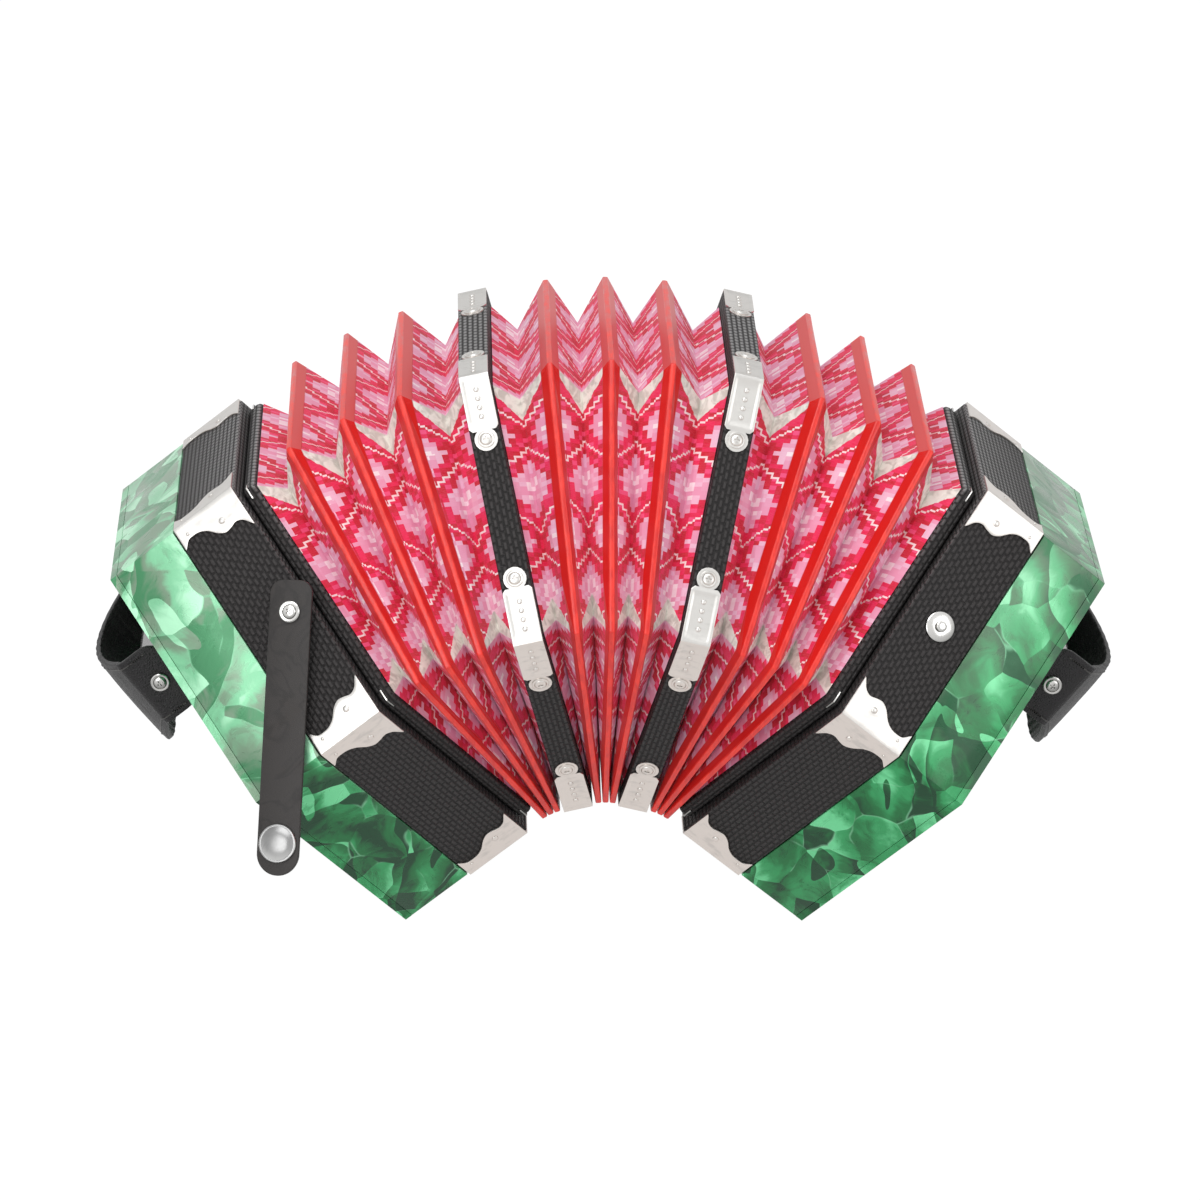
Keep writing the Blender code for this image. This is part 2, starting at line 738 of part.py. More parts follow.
def face_bore(side, out, carrier):
    """The bore in the reed box's upper front wall that takes a screw's shank."""
    bore = bmesh.new()
    radius = SHANK_RADIUS + BORE_CLEARANCE
    depth = SHANK_LENGTH + BORE_CLEARANCE
    middle = Matrix.Translation((0, 0, (CUT_OVERRUN - depth) / 2))
    bmesh.ops.create_cone(
        bore,
        cap_ends=True,
        segments=ROUND_STEPS,
        radius1=radius,
        radius2=radius,
        depth=depth + CUT_OVERRUN,
        matrix=upper_front_face(side, out, DOWN_THE_FACE) @ middle,
    )
    return cutter(f"{SIDE_NAMES[side]}_reed_box_bore", bore, carrier)


def casings(side, carrier):
    """The stacked shells and boards of one end."""
    label = SIDE_NAMES[side]
    hexagon_tube(
        f"{label}_bellows_end",
        APOTHEM - BELLOWS_END_STEP,
        BELLOWS_END_RIM,
        0.0,
        BELLOWS_END_DEPTH,
        "leatherette_black",
        carrier,
    )
    reed_box = hexagon_tube(
        f"{label}_reed_box",
        APOTHEM,
        REED_BOX_WALL,
        REED_BOX_START,
        REED_BOX_END,
        "leatherette_black",
        carrier,
    )
    caps = copies(bent_plate(corner_cap_outline()), around_hexagon(REED_BOX_START))
    join(reed_box, cutter(f"{label}_corner_caps", caps, carrier))
    cut(reed_box, face_bore(side, STUD_OUT if side == RIGHT else STRAP_SCREW_OUT, carrier))
    hexagon_tube(
        f"{label}_action_box",
        APOTHEM,
        ACTION_BOX_WALL,
        ACTION_BOX_START,
        ACTION_BOX_END,
        "pearl_green",
        carrier,
    )
    pan_apothem = APOTHEM - REED_BOX_WALL - SEAT
    pan = part(
        f"{label}_reed_pan",
        hexagon_prism(pan_apothem, REED_BOX_START, REED_BOX_START + REED_PAN_THICKNESS),
        "wood",
        carrier,
    )
    cut(pan, reed_pan_cuts(side, carrier))
    board_apothem = APOTHEM - ACTION_BOX_WALL - SEAT
    board = part(
        f"{label}_action_board",
        hexagon_prism(board_apothem, ACTION_BOX_START, ACTION_BOX_START + ACTION_BOARD_THICKNESS),
        "wood",
        carrier,
    )
    cut(board, action_board_cuts(side, carrier))
    slab = hexagon_prism(APOTHEM, END_PLATE_START, END_FACE)
    plate = part(f"{label}_end_plate", slab, "pearl_green", carrier)
    cut(plate, end_plate_cuts(side, carrier))


def rounded_head(radius, top, height, rounding):
    """Profile points from the middle of a domed head out to its edge."""
    return [(0.0, top)] + [(radius * across, top - height * down) for across, down in rounding]


def button_profile():
    """From the domed top, past the flange under the plate, to the guide pin's tip in the board."""
    flange_top = -(END_PLATE_THICKNESS + SEAT)
    flange_bottom = flange_top - BUTTON_FLANGE_THICKNESS
    pin_tip = ACTION_BOX_START + ACTION_BOARD_THICKNESS - GUIDE_PIN_ENTRY - END_FACE
    return rounded_head(BUTTON_RADIUS, BUTTON_HEIGHT, BUTTON_DOME, BUTTON_ROUNDING) + [
        (BUTTON_RADIUS, flange_top),
        (BUTTON_RADIUS + BUTTON_FLANGE, flange_top),
        (BUTTON_RADIUS + BUTTON_FLANGE, flange_bottom),
        (GUIDE_PIN_RADIUS, flange_bottom),
        (GUIDE_PIN_RADIUS, pin_tip),
        (0.0, pin_tip),
    ]


def buttons(side, carrier):
    label = SIDE_NAMES[side]
    for (row, column), (y, z) in button_places().items():
        place = Matrix.Translation((END_FACE, y, z)) @ ALONG_X
        name = f"{label}_button_{row}_{column}"
        button = turned(name, button_profile(), "button_white", carrier, place, steps=FEWER_STEPS)
        smooth_round(button)
    if side == RIGHT:
        y, z = air_button_place()
        place = Matrix.Translation((END_FACE, y, z)) @ ALONG_X
        profile = button_profile()
        smooth_round(turned("air_button", profile, "button_white", carrier, place, steps=FEWER_STEPS))


def rail_screw_place(end):
    """A place on the rail's end: Z out of the rail towards end (+1 or -1) along Y."""
    middle = Matrix.Translation((END_FACE + STRAP_SCREW_HEIGHT, end * RAIL_HALF_LENGTH, RAIL_Z))
    return middle @ Matrix.Rotation(-end * math.pi / 2, 4, "X")


def hand_rail(side, carrier):
    """The wooden bar across the end plate that the palm rests on, bored at each end for a strap screw."""
    label = SIDE_NAMES[side]
    bar = bmesh.new()
    bmesh.ops.create_cube(bar, size=1.0)
    size = Matrix.Diagonal((RAIL_HEIGHT, 2 * RAIL_HALF_LENGTH, RAIL_WIDTH, 1.0))
    middle = Matrix.Translation((END_FACE + SEAT + RAIL_HEIGHT / 2, 0, RAIL_Z))
    bmesh.ops.transform(bar, matrix=middle @ size, verts=bar.verts)
    rail = part(f"{label}_hand_rail", bar, "rail_black", carrier)
    bevel = rail.modifiers.new("rounding", "BEVEL")
    bevel.width = RAIL_ROUNDING
    bevel.segments = RAIL_ROUNDING_STEPS
    bores = []
    for end in (-1, 1):
        bore = bmesh.new()
        bmesh.ops.create_cone(
            bore,
            cap_ends=True,
            segments=ROUND_STEPS,
            radius1=SHANK_RADIUS + BORE_CLEARANCE,
            radius2=SHANK_RADIUS + BORE_CLEARANCE,
            depth=2 * (SHANK_LENGTH + BORE_CLEARANCE),
            matrix=rail_screw_place(end),
        )
        bores.append(bore)
    cut(rail, cutter(f"{label}_hand_rail_bores", merged(bores), carrier))


def strap_stations():
    """The hand strap's middle line, end to end of the rail: (y, height over the plate, width, drop)."""
    side_y = RAIL_HALF_LENGTH + SEAT + STRAP_LEATHER / 2
    arc_half = side_y - STRAP_BEND_RADIUS
    arc_foot = RAIL_HEIGHT + STRAP_BEND_RADIUS
    radius = (arc_half**2 + STRAP_RISE**2) / (2 * STRAP_RISE)
    reach = math.asin(arc_half / radius)
    half = [
        (side_y, STRAP_FOOT, STRAP_TIP_WIDTH, 0.0),
        (side_y, STRAP_FOOT + STRAP_TIP_CORNER, STRAP_SHOULDER_WIDTH, 0.0),
        (side_y, STRAP_SCREW_HEIGHT, STRAP_END_WIDTH, 0.0),
        (side_y, STRAP_BEND_START, STRAP_END_WIDTH, 0.0),
    ]
    for step in range(STRAP_ARC_STATIONS):
        share = step / (STRAP_ARC_STATIONS - 1)
        angle = reach * (1 - share)
        y = radius * math.sin(angle)
        height = arc_foot + STRAP_RISE - radius * (1 - math.cos(angle))
        ease = math.sin(share * math.pi / 2)
        width = STRAP_END_WIDTH + (STRAP_MID_WIDTH - STRAP_END_WIDTH) * ease
        half.append((y, height, width, STRAP_MID_SAG * ease))
    return half + [(-y, height, width, drop) for y, height, width, drop in half[-2::-1]]


def hand_strap(side, carrier):
    """A padded leather band bowed over the rail, its two feet screwed to the rail's ends."""
    label = SIDE_NAMES[side]
    shape = bmesh.new()
    rows = []
    for y, height, width, drop in strap_stations():
        centre = RAIL_Z - drop
        across = (centre - width / 2, centre, centre + width / 2)
        rows.append([shape.verts.new((END_FACE + height, y, z)) for z in across])
    for row, following in zip(rows, rows[1:]):
        for first, second, third, fourth in zip(row, row[1:], following[1:], following):
            shape.faces.new((first, second, third, fourth))
    strap = part(f"{label}_hand_strap", shape, "leather_black", carrier)
    solidify = strap.modifiers.new("leather", "SOLIDIFY")
    solidify.thickness = STRAP_LEATHER
    solidify.offset = 0.0
    solidify.use_even_offset = True
    holes = []
    for end in (-1, 1):
        hole = bmesh.new()
        bmesh.ops.create_cone(
            hole,
            cap_ends=True,
            segments=ROUND_STEPS,
            radius1=CLOSING_STRAP_HOLE,
            radius2=CLOSING_STRAP_HOLE,
            depth=4 * STRAP_LEATHER,
            matrix=rail_screw_place(end),
        )
        holes.append(hole)
    cut(strap, cutter(f"{label}_hand_strap_holes", merged(holes), carrier))
    under_head = STRAP_LEATHER + 2 * SEAT
    top = under_head + STRAP_SCREW_HEAD
    profile = rounded_head(STRAP_SCREW_RADIUS, top, STRAP_SCREW_HEAD, FLAT_HEAD_ROUNDING) + [
        (SHANK_RADIUS, under_head),
        (SHANK_RADIUS, -SHANK_LENGTH),
        (0.0, -SHANK_LENGTH),
    ]
    for end in (-1, 1):
        depth = "front" if end == front_of(side) else "back"
        name = f"{label}_strap_screw_{depth}"
        smooth_round(turned(name, profile, "polished_steel", carrier, rail_screw_place(end)))


def arc(centre, radius, start, stop, steps):
    return [
        (
            centre[0] + radius * math.cos(start + (stop - start) * step / steps),
            centre[1] + radius * math.sin(start + (stop - start) * step / steps),
        )
        for step in range(steps + 1)
    ]


def flat_curve(name, outlines, thickness, material, parent, place):
    """A flat piece from 2D outlines, the first round it and the others round its holes."""
    curve = bpy.data.curves.new(name, "CURVE")
    curve.dimensions = "2D"
    curve.fill_mode = "BOTH"
    curve.extrude = thickness / 2
    for outline in outlines:
        spline = curve.splines.new("POLY")
        spline.points.add(len(outline) - 1)
        for point, (x, y) in zip(spline.points, outline):
            point.co = (x, y, 0, 1)
        spline.use_cyclic_u = True
    obj = bpy.data.objects.new(name, curve)
    parts.objects.link(obj)
    curve.materials.append(material_named(material))
    obj.parent = parent
    obj.matrix_local = place
    return obj


def closing_strap(carrier):
    """The leather strap that hangs from its screw on the left end, with the snap near its loose end."""
    pivot = empty_at("closing_strap_pivot", upper_front_face(LEFT, STRAP_SCREW_OUT, DOWN_THE_FACE), carrier)
    swing = empty_at("closing_strap_swing", Matrix.Rotation(CLOSING_STRAP_ANGLE, 4, "Z"), pivot)
    half = CLOSING_STRAP_WIDTH / 2
    corner = CLOSING_END_CORNER
    quarter = math.pi / 2
    loose_end = CLOSING_STRAP_REACH + CLOSING_END_LENGTH - half
    screwed_end = corner - CLOSING_END_LENGTH
    outline = arc((loose_end, 0), half, -quarter, quarter, ROUND_END_STEPS)
    outline += arc((screwed_end, half - corner), corner, quarter, 2 * quarter, CORNER_STEPS)
    outline += arc((screwed_end, corner - half), corner, 2 * quarter, 3 * quarter, CORNER_STEPS)
    full = 2 * math.pi
    screw_hole = arc((0, 0), CLOSING_STRAP_HOLE, 0, full * (1 - 1 / ROUND_STEPS), ROUND_STEPS - 1)
    snap_hole = [(x + CLOSING_STRAP_REACH, y) for x, y in screw_hole]
    flat_curve(
        "closing_strap",
        [outline, screw_hole, snap_hole],
        CLOSING_STRAP_THICKNESS,
        "leather_black",
        swing,
        Matrix.Translation((0, 0, CLOSING_STRAP_LIFT + CLOSING_STRAP_THICKNESS / 2)),
    )
    under_strap = CLOSING_STRAP_LIFT - SEAT
    over_strap = STRAP_TOP + SEAT
    top = over_strap + ROUND_HEAD_HEIGHT
    screw = rounded_head(ROUND_HEAD_RADIUS, top, ROUND_HEAD_HEIGHT, ROUND_HEAD_ROUNDING) + [
        (SHANK_RADIUS, over_strap),
        (SHANK_RADIUS, under_strap),
        (FERRULE_NECK_RADIUS, under_strap),
        (FERRULE_NECK_RADIUS, SEAT + FERRULE_FLANGE),
        (FERRULE_RADIUS, SEAT + FERRULE_FLANGE),
        (FERRULE_RADIUS, SEAT),
        (SHANK_RADIUS, SEAT),
        (SHANK_RADIUS, -SHANK_LENGTH),
        (0.0, -SHANK_LENGTH),
    ]
    smooth_round(turned("closing_strap_screw", screw, "polished_steel", pivot, Matrix.Identity(4)))
    socket_foot = CAP_THICKNESS + 2 * SEAT
    top = over_strap + SNAP_CAP_HEIGHT
    snap = rounded_head(SNAP_CAP_RADIUS, top, SNAP_CAP_HEIGHT, SNAP_CAP_ROUNDING) + [
        (SHANK_RADIUS, over_strap),
        (SHANK_RADIUS, under_strap),
        (SNAP_SOCKET_RADIUS, under_strap),
        (SNAP_SOCKET_RADIUS, socket_foot),
        (SNAP_RECESS_RADIUS, socket_foot),
        (SNAP_RECESS_RADIUS, socket_foot + SNAP_RECESS_DEPTH),
        (0.0, socket_foot + SNAP_RECESS_DEPTH),
    ]
    place = Matrix.Translation((CLOSING_STRAP_REACH, 0, 0))
    smooth_round(turned("snap_cap", snap, "polished_steel", swing, place, steps=SNAP_CAP_STEPS))


def snap_stud(carrier):
    """The stud on the right end that the strap's snap closes over."""
    flange = SEAT + SNAP_STUD_FLANGE
    post = SNAP_STUD_HEIGHT - flange
    profile = rounded_head(SNAP_STUD_POST, SNAP_STUD_HEIGHT, post, STUD_POST_ROUNDING)
    profile += rounded_head(SNAP_STUD_RADIUS, flange, SNAP_STUD_FLANGE, STUD_FLANGE_ROUNDING)[1:]
    profile += [
        (SHANK_RADIUS, SEAT),
        (SHANK_RADIUS, -SHANK_LENGTH),
        (0.0, -SHANK_LENGTH),
    ]
    place = upper_front_face(RIGHT, STUD_OUT, DOWN_THE_FACE)
    smooth_round(turned("snap_stud", profile, "polished_steel", carrier, place))


def hinge_empties(root):
    """An empty on each hinge line of the chain from the left end, and the plate empties they carry."""
    names = ["fold_middle", "fold_inner", "frame", "fold_second", "fold_third", "fold_fourth", "end"]
    half_turn = Matrix.Rotation(HALF_TURN, 4, "Z")
    carriers = {}
    for side in (LEFT, RIGHT):
        turn = half_turn if side == LEFT else Matrix.Identity(4)
        for index, plate in enumerate(PLATES):
            if index == 0 and side == RIGHT:
                continue
            name = "fold_middle" if index == 0 else f"{SIDE_NAMES[side]}_{names[index]}"
            inner = side == RIGHT or index + 1 == len(PLATES)
            hinge_x, hinge_z = plate.hinge if inner else PLATES[index + 1].hinge
            tilt = Matrix.Rotation(plate.tilt, 4, "Y")
            hinge = turn @ Matrix.Translation((hinge_x, 0, hinge_z)) @ tilt
            foot = turn @ plate.matrix()
            if index == 0:
                foot = Matrix.Identity(4)
            axis_empty = empty_at(f"{name}_hinge", hinge, root)
            carriers[name] = empty_at(f"{name}_carrier", hinge.inverted() @ foot, axis_empty)
    return carriers


def build():
    root = empty_at("concertina", Matrix.Translation((0, SET_BACK, STANDING_HEIGHT)))
    carriers = hinge_empties(root)
    bellows_folds(PLATES, carriers)
    for side in (LEFT, RIGHT):
        label = SIDE_NAMES[side]
        middle_frame(side, carriers[f"{label}_frame"])
        end = carriers[f"{label}_end"]
        casings(side, end)
        buttons(side, end)
        hand_rail(side, end)
        hand_strap(side, end)
    closing_strap(carriers["left_end"])
    snap_stud(carriers["right_end"])


for old in list(bpy.data.objects):
    bpy.data.objects.remove(old)
parts = collection_named(COLLECTION_NAME)
cutters = collection_named("cutters", hidden=True)
build()
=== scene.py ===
"""Looks of a twenty-button anglo concertina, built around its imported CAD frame. Metres, +Z up."""

import json
import math

import bmesh
import bpy
from mathutils import Matrix, Vector


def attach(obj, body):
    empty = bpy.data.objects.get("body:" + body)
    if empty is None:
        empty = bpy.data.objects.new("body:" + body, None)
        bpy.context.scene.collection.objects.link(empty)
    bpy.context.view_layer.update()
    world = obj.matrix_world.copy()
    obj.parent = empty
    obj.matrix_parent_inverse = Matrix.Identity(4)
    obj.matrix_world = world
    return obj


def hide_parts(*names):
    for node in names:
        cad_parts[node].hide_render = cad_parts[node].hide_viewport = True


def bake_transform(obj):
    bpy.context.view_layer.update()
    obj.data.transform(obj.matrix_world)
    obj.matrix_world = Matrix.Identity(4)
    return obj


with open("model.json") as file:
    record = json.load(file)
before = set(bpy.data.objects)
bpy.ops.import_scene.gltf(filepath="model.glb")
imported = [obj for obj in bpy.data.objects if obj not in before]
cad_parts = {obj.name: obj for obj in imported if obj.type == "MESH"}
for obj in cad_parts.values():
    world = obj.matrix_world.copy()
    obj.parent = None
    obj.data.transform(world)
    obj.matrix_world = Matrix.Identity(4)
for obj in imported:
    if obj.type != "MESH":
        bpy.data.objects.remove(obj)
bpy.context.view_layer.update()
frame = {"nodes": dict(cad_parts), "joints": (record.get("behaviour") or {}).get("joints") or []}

MM = 0.001
LEFT, RIGHT = -1, 1
SIDE_NAMES = {LEFT: "left", RIGHT: "right"}

# Sizes shared with the CAD model
ACROSS_FLATS = 0.178
APOTHEM = ACROSS_FLATS / 2
CORNER = ACROSS_FLATS / math.sqrt(3)
SIXTH = math.pi / 3
SLOPE = math.pi / 6
SEAT = 0.0003
FOLD_DEPTH = 0.0155
CREST_HALF_WIDTH = 0.0010
CREST_PITCH = 0.0027
FRAME_PITCH = 0.0022
SHORT_LEG_INSET = 0.0060
SHORT_LEG_SHARE = 0.40
FOLD_TURN = math.radians(6.6)
FRAME_TURN = math.radians(6.7)
END_TURN = math.radians(5.6)
FRAME_DEPTH = 0.0116
FRAME_RIM = 0.0140
BELLOWS_END_DEPTH = 0.0060
BELLOWS_END_STEP = 0.0045
BELLOWS_END_RIM = 0.0120
REED_BOX_DEPTH = 0.0290
REED_BOX_WALL = 0.0090
ACTION_BOX_DEPTH = 0.0270
ACTION_BOX_WALL = 0.0060
END_PLATE_THICKNESS = 0.0030
ACTION_BOARD_THICKNESS = 0.0050
CAP_THICKNESS = 0.0008
CAP_MARGIN = 0.0006
CLIP_ARM = 0.0210
CLIP_SHOULDER = 0.0012
CLIP_LOBE_CENTRE = 0.0245
CLIP_LOBE_RADIUS = 0.0044
CLIP_SIDE_MARGIN = 0.0002
BUTTON_RADIUS = 0.0040
BUTTON_HEIGHT = 0.0070
BUTTON_FLANGE = 0.0011
BUTTON_FLANGE_THICKNESS = 0.0015
GUIDE_PIN_RADIUS = 0.0013
GUIDE_PIN_ENTRY = 0.0012
BUTTON_PITCH = 0.0150
BUTTON_ROW_Z = (0.0880, 0.0740)
BUTTON_ROW_SHIFT = 0.0045
BUTTON_ROW_ARC = 0.0040
BUTTONS_PER_ROW = 5
AIR_BUTTON_ASIDE = 0.0520
AIR_BUTTON_Z = 0.1120
FRET_RING_RADIUS = 0.0600
FRET_CORNERS = (0, 3, 4, 5)
RAIL_Z = 0.1340
RAIL_HALF_LENGTH = 0.0470
RAIL_HEIGHT = 0.0180
STRAP_LEATHER = 0.0022
STRAP_RISE = 0.0130
STRAP_FOOT = 0.0035
STRAP_BEND = 0.0030
STRAP_END_WIDTH = 0.0300
STRAP_MID_WIDTH = 0.0460
STRAP_MID_SAG = 0.0090
STRAP_SCREW_HEIGHT = 0.0120
CLOSING_WIDTH = 0.0165
CLOSING_THICKNESS = 0.0016
CLOSING_REACH = 0.0863
CLOSING_LIFT = 0.0042
CLOSING_ANGLE = math.radians(52.3)
CLOSING_END = 0.0120
STRAP_SCREW_OUT = 0.0131
STUD_OUT = 0.0206
DOWN_THE_FACE = 0.0534

REED_BOX_START = BELLOWS_END_DEPTH + SEAT
REED_BOX_END = REED_BOX_START + REED_BOX_DEPTH
ACTION_BOX_START = REED_BOX_END + SEAT
ACTION_BOX_END = ACTION_BOX_START + ACTION_BOX_DEPTH
END_PLATE_START = ACTION_BOX_END + SEAT
END_FACE = END_PLATE_START + END_PLATE_THICKNESS

# Sizes of the finer pieces; a clip's stations and bosses are in millimetres
CLOTH_THICKNESS = 0.8 * MM
GLUE_GAP = 0.1 * MM
CARD_INSET = 0.2 * MM
CARD_HALF_PITCH = 5 * MM
VALLEY_HALF_WIDTH = 0.3 * MM
CREST_SKIN = 0.15 * MM
CREST_WALL = 1.9 * MM
CREST_ROUNDING = 0.6 * MM
BOX_ROUNDING = 0.8 * MM
LIP_ROUNDING = 2.0 * MM
PEARL_REACH = 0.2 * MM
PEARL_ROUNDING = 0.2 * MM
PLATE_ROUNDING = 0.14 * MM
PLATE_LIFT = 0.02 * MM
CAP_ARMS = (0.0165, 0.0129, 0.0116, 0.0123, 0.0126, 0.0110, 0.0080, 0.0064, 0.0060, 0.0064, 0.0090)
CAP_STUDS = ((0.0080, 0.36), (0.0042, 0.86))
CLIP_STATIONS = (0, 1.0, 1.6, 5, 9, 13, 17, 18.6, 19.2, 19.8)
CLIP_NECK = 2.7 * MM
CLIP_LOBE_DEGREES = (55, 75, 95, 115, 135, 155, 170, 179)
CLIP_RIM = 0.22 * MM
CLIP_BOSSES = (5.2, 8.7, 12.2, 15.7)
STAPLE_ARM = 4.5 * MM
STAPLE_PLACE = 3.4 * MM
STAPLE_HALF_WIDTH = 0.35 * MM
STAPLE_THICKNESS = 0.4 * MM
END_SCREW_INSET = 11 * MM
GAUZE_RADIUS = 0.0195
GAUZE_THICKNESS = 0.25 * MM
GAUZE_DEPTH = 0.4 * MM
STRAP_CROWN = 0.9 * MM
STRAP_RUMPLE = 0.25 * MM
STRAP_FOOT_ROUNDING = 7 * MM
STITCH_ACROSS = 0.84
STITCH_REACH = 0.1
CLOSING_CORNER = 5.0 * MM
STRAP_ROUNDING = 0.55 * MM
CLOSING_ROUNDING = 0.35 * MM
SNAP_RADIUS = 7.3 * MM
SNAP_HEIGHT = 2.6 * MM

# The casings: piece, CAD node, finish, then apothem, wall, start, end and rounding
CASINGS = (
    ("bellows_lip", "bellows_end", "leatherette_black",
     (APOTHEM - BELLOWS_END_STEP, BELLOWS_END_RIM, 0.0, BELLOWS_END_DEPTH, LIP_ROUNDING)),
    ("reed_casing", "reed_box", "leatherette_black",
     (APOTHEM, REED_BOX_WALL, REED_BOX_START, REED_BOX_END, BOX_ROUNDING)),
    ("pearl_casing", "action_box", "pearl_green",
     (APOTHEM, ACTION_BOX_WALL, ACTION_BOX_START, ACTION_BOX_END + PEARL_REACH, PEARL_ROUNDING)),
)

# Folds outwards from the middle one, and the finishes of the CAD nodes that stay
FOLDS = ("inner", "second", "third", "fourth")
KEPT_NODES = {
    "end_plate": "pearl_green",
    "hand_rail": "rail_black",
    "action_board": "wood",
    "reed_pan": "wood",
}

# A cross recess: its reach and depth in its screw, its bars' width, and its narrower foot
RECESS_SIZE = 1.15
RECESS_DEPTH = 0.55
RECESS_BAR = 0.24
RECESS_TAPER = 0.62

# Screws (head radius, height, ring) and rivets (radius, height)
CLIP_SCREW = (2.3 * MM, 0.9 * MM, 0.9 * MM)
RAIL_SCREW = (2.5 * MM, 1.4 * MM, 1.1 * MM)
END_SCREW = (2.0 * MM, 0.9 * MM, 0.7 * MM)
CLOSING_SCREW = (2.7 * MM, 1.5 * MM, 1.3 * MM)
CAP_RIVET = (1.25 * MM, 0.55 * MM)
CAP_PIN = (0.65 * MM, 0.40 * MM)
CLIP_BOSS = (1.0 * MM, 0.5 * MM)

# Turned outlines, as shares of radius and height, or in millimetres
RIVET_DOME = ((1.0, 0.25), (0.86, 0.65), (0.55, 0.93), (0.2, 1.0))
SCREW_DOME = ((0.94, 0.58), (0.8, 0.82), (0.55, 0.95), (0.3, 1.0))
BUTTON_TOP = (
    (1.0, 1.3), (0.985, 0.85), (0.93, 0.48), (0.82, 0.24), (0.64, 0.10), (0.4, 0.03), (0.15, 0.0)
)
SNAP_DOME = (
    (1.0, 0.0), (1.0, 0.28), (0.97, 0.42), (0.9, 0.46), (0.87, 0.44), (0.82, 0.52),
    (0.7, 0.72), (0.55, 0.86), (0.38, 0.95), (0.2, 0.99), (0.08, 1.0),
)
STUD = (
    (5.4, 0.0), (5.7, 0.2), (5.7, 0.5), (5.2, 0.8), (1.75, 0.8),
    (1.7, 1.15), (2.1, 1.7), (2.0, 2.1), (1.6, 2.3), (0.8, 2.4),
)
STITCH = ((0.12, -1.1), (0.3, -0.8), (0.3, 0.8), (0.12, 1.1))

# The camera and the studio; a lamp has a place, a size and a power
CAMERA_ELEVATION = math.radians(20.36)
CAMERA_YAW = 0.0274
CAMERA_ROLL = -0.0132
CAMERA_LENS = 195.28
CAMERA_DISTANCE = 2.5138
CAMERA_AIM = (-0.001735, 0, 0.063516)
SENSOR_WIDTH = 36.0
LAMP_AIM = (0, 0, 0.12)
LAMPS = {
    "overhead_softbox": ((-0.2, -0.5, 1.7), 1.3, 15.0),
    "front_softbox": ((-0.9, -1.9, 0.9), 1.2, 15.0),
    "side_softbox": ((1.5, -1.2, 0.9), 1.0, 6.5),
}
WHITE = (1.0, 1.0, 1.0, 1.0)
WORLD_FILL = 0.45
FLOOR_WHITE = (0.86, 0.86, 0.86, 1.0)
FLOOR_SIZE = 12.0
FLOOR_GLOW = 0.94
GLOW_STRENGTH = 1.06
# towards the lamps, for the metals' painted light and painted shade
TOWARD_LAMPS = (-0.15, -0.55, 0.82)

# The woven pattern: weaving steps in metres, and repeats, slopes and widths counted in steps
STEP_ACROSS = 0.0028
STEP_ALONG = 0.0017
REPEAT_ACROSS = 12
REPEAT_ALONG = 24
DIAMOND_SLOPE = 1.4
DIAMOND_STEPS = 6.5
HEART_STEPS = 3.7
LINE_STEPS = 9.5

# Places and widths on the cloth in metres; a gusset's spread is a share of its depth
DIAMOND_HEIGHT = 0.0078
LINE_WIDTH = 0.0008
GUSSET_START = 0.0010
GUSSET_SPREAD = 0.47
TAPE_WIDTH = 0.0038

# The pearl's flakes to the metre, their shading, and its veils
FLAKE_SCALE = 55.0
FLAKE_SHADING = 45.0
VEILS = 4.5

# Colours, as linear light
CRIMSON = (0.80, 0.012, 0.085)
RED = (0.60, 0.007, 0.024)
ROSE = (0.86, 0.08, 0.22)
PINK = (0.82, 0.36, 0.52)
MAUVE = (0.86, 0.56, 0.70)
PALE = (0.96, 0.86, 0.88)
LINE = (0.93, 0.80, 0.80)
FADED = (0.75, 0.30, 0.42)
CLOTH_SHEEN = (1.0, 0.86, 0.92)
KID = (0.82, 0.79, 0.73)
# painted shade: the kid's darker colour in its creases
KID_PAINTED_CREASE_SHADE = (0.58, 0.54, 0.49)
TAPE = (0.60, 0.008, 0.005)
TAPE_LIGHT = (0.80, 0.030, 0.016)
# painted shade: the black of the weave's hollows and the leather's creases
BLACK_PAINTED_HOLLOW_SHADE = (0.009, 0.008, 0.008)
BLACK_RAISED = (0.027, 0.024, 0.024)
# painted light: the paler black of faces turned up
BLACK_LIT = (0.230, 0.225, 0.225)
BLACK_WORN = (0.050, 0.046, 0.045)
PEARL_MINT = (0.21, 0.53, 0.31)
# The two pearl ramps below are shaded and lit copies of one sheet: the first is painted shade for
# low and downward faces, the second painted light for upper faces
PEARL_PAINTED_SHADE = (
    (0.30, (0.004, 0.050, 0.018)),
    (0.46, (0.010, 0.15, 0.042)),
    (0.62, (0.030, 0.30, 0.100)),
    (0.84, (0.15, 0.62, 0.29)),
)
PEARL_PAINTED_LIGHT = (
    (0.18, (0.06, 0.24, 0.11)),
    (0.38, (0.19, 0.29, 0.20)),
    (0.56, PEARL_MINT),
    (0.80, (0.42, 0.78, 0.53)),
)
BONE = (0.84, 0.82, 0.76)
BONE_SHADE = (0.76, 0.72, 0.63)
BONE_WORN = (0.62, 0.58, 0.50)
BONE_DEPTH = (0.003, 0.002, 0.0015)
LACQUER = (0.006, 0.006, 0.007)
LACQUER_GRAIN = (0.016, 0.014, 0.013)
LACQUER_WORN = (0.03, 0.028, 0.027)
WOOD_PALE = (0.62, 0.42, 0.23)
WOOD_RING = (0.42, 0.25, 0.115)
WOOD_PORE = (0.25, 0.14, 0.06)
WOOD_WORN = (0.33, 0.2, 0.1)
GAUZE = (0.03, 0.03, 0.032)
GAUZE_CROSS = (0.022, 0.022, 0.024)
GAUZE_HOLE = (0.004, 0.004, 0.004)
THREAD = (0.02, 0.02, 0.02)
THREAD_WAXED = (0.07, 0.065, 0.06)

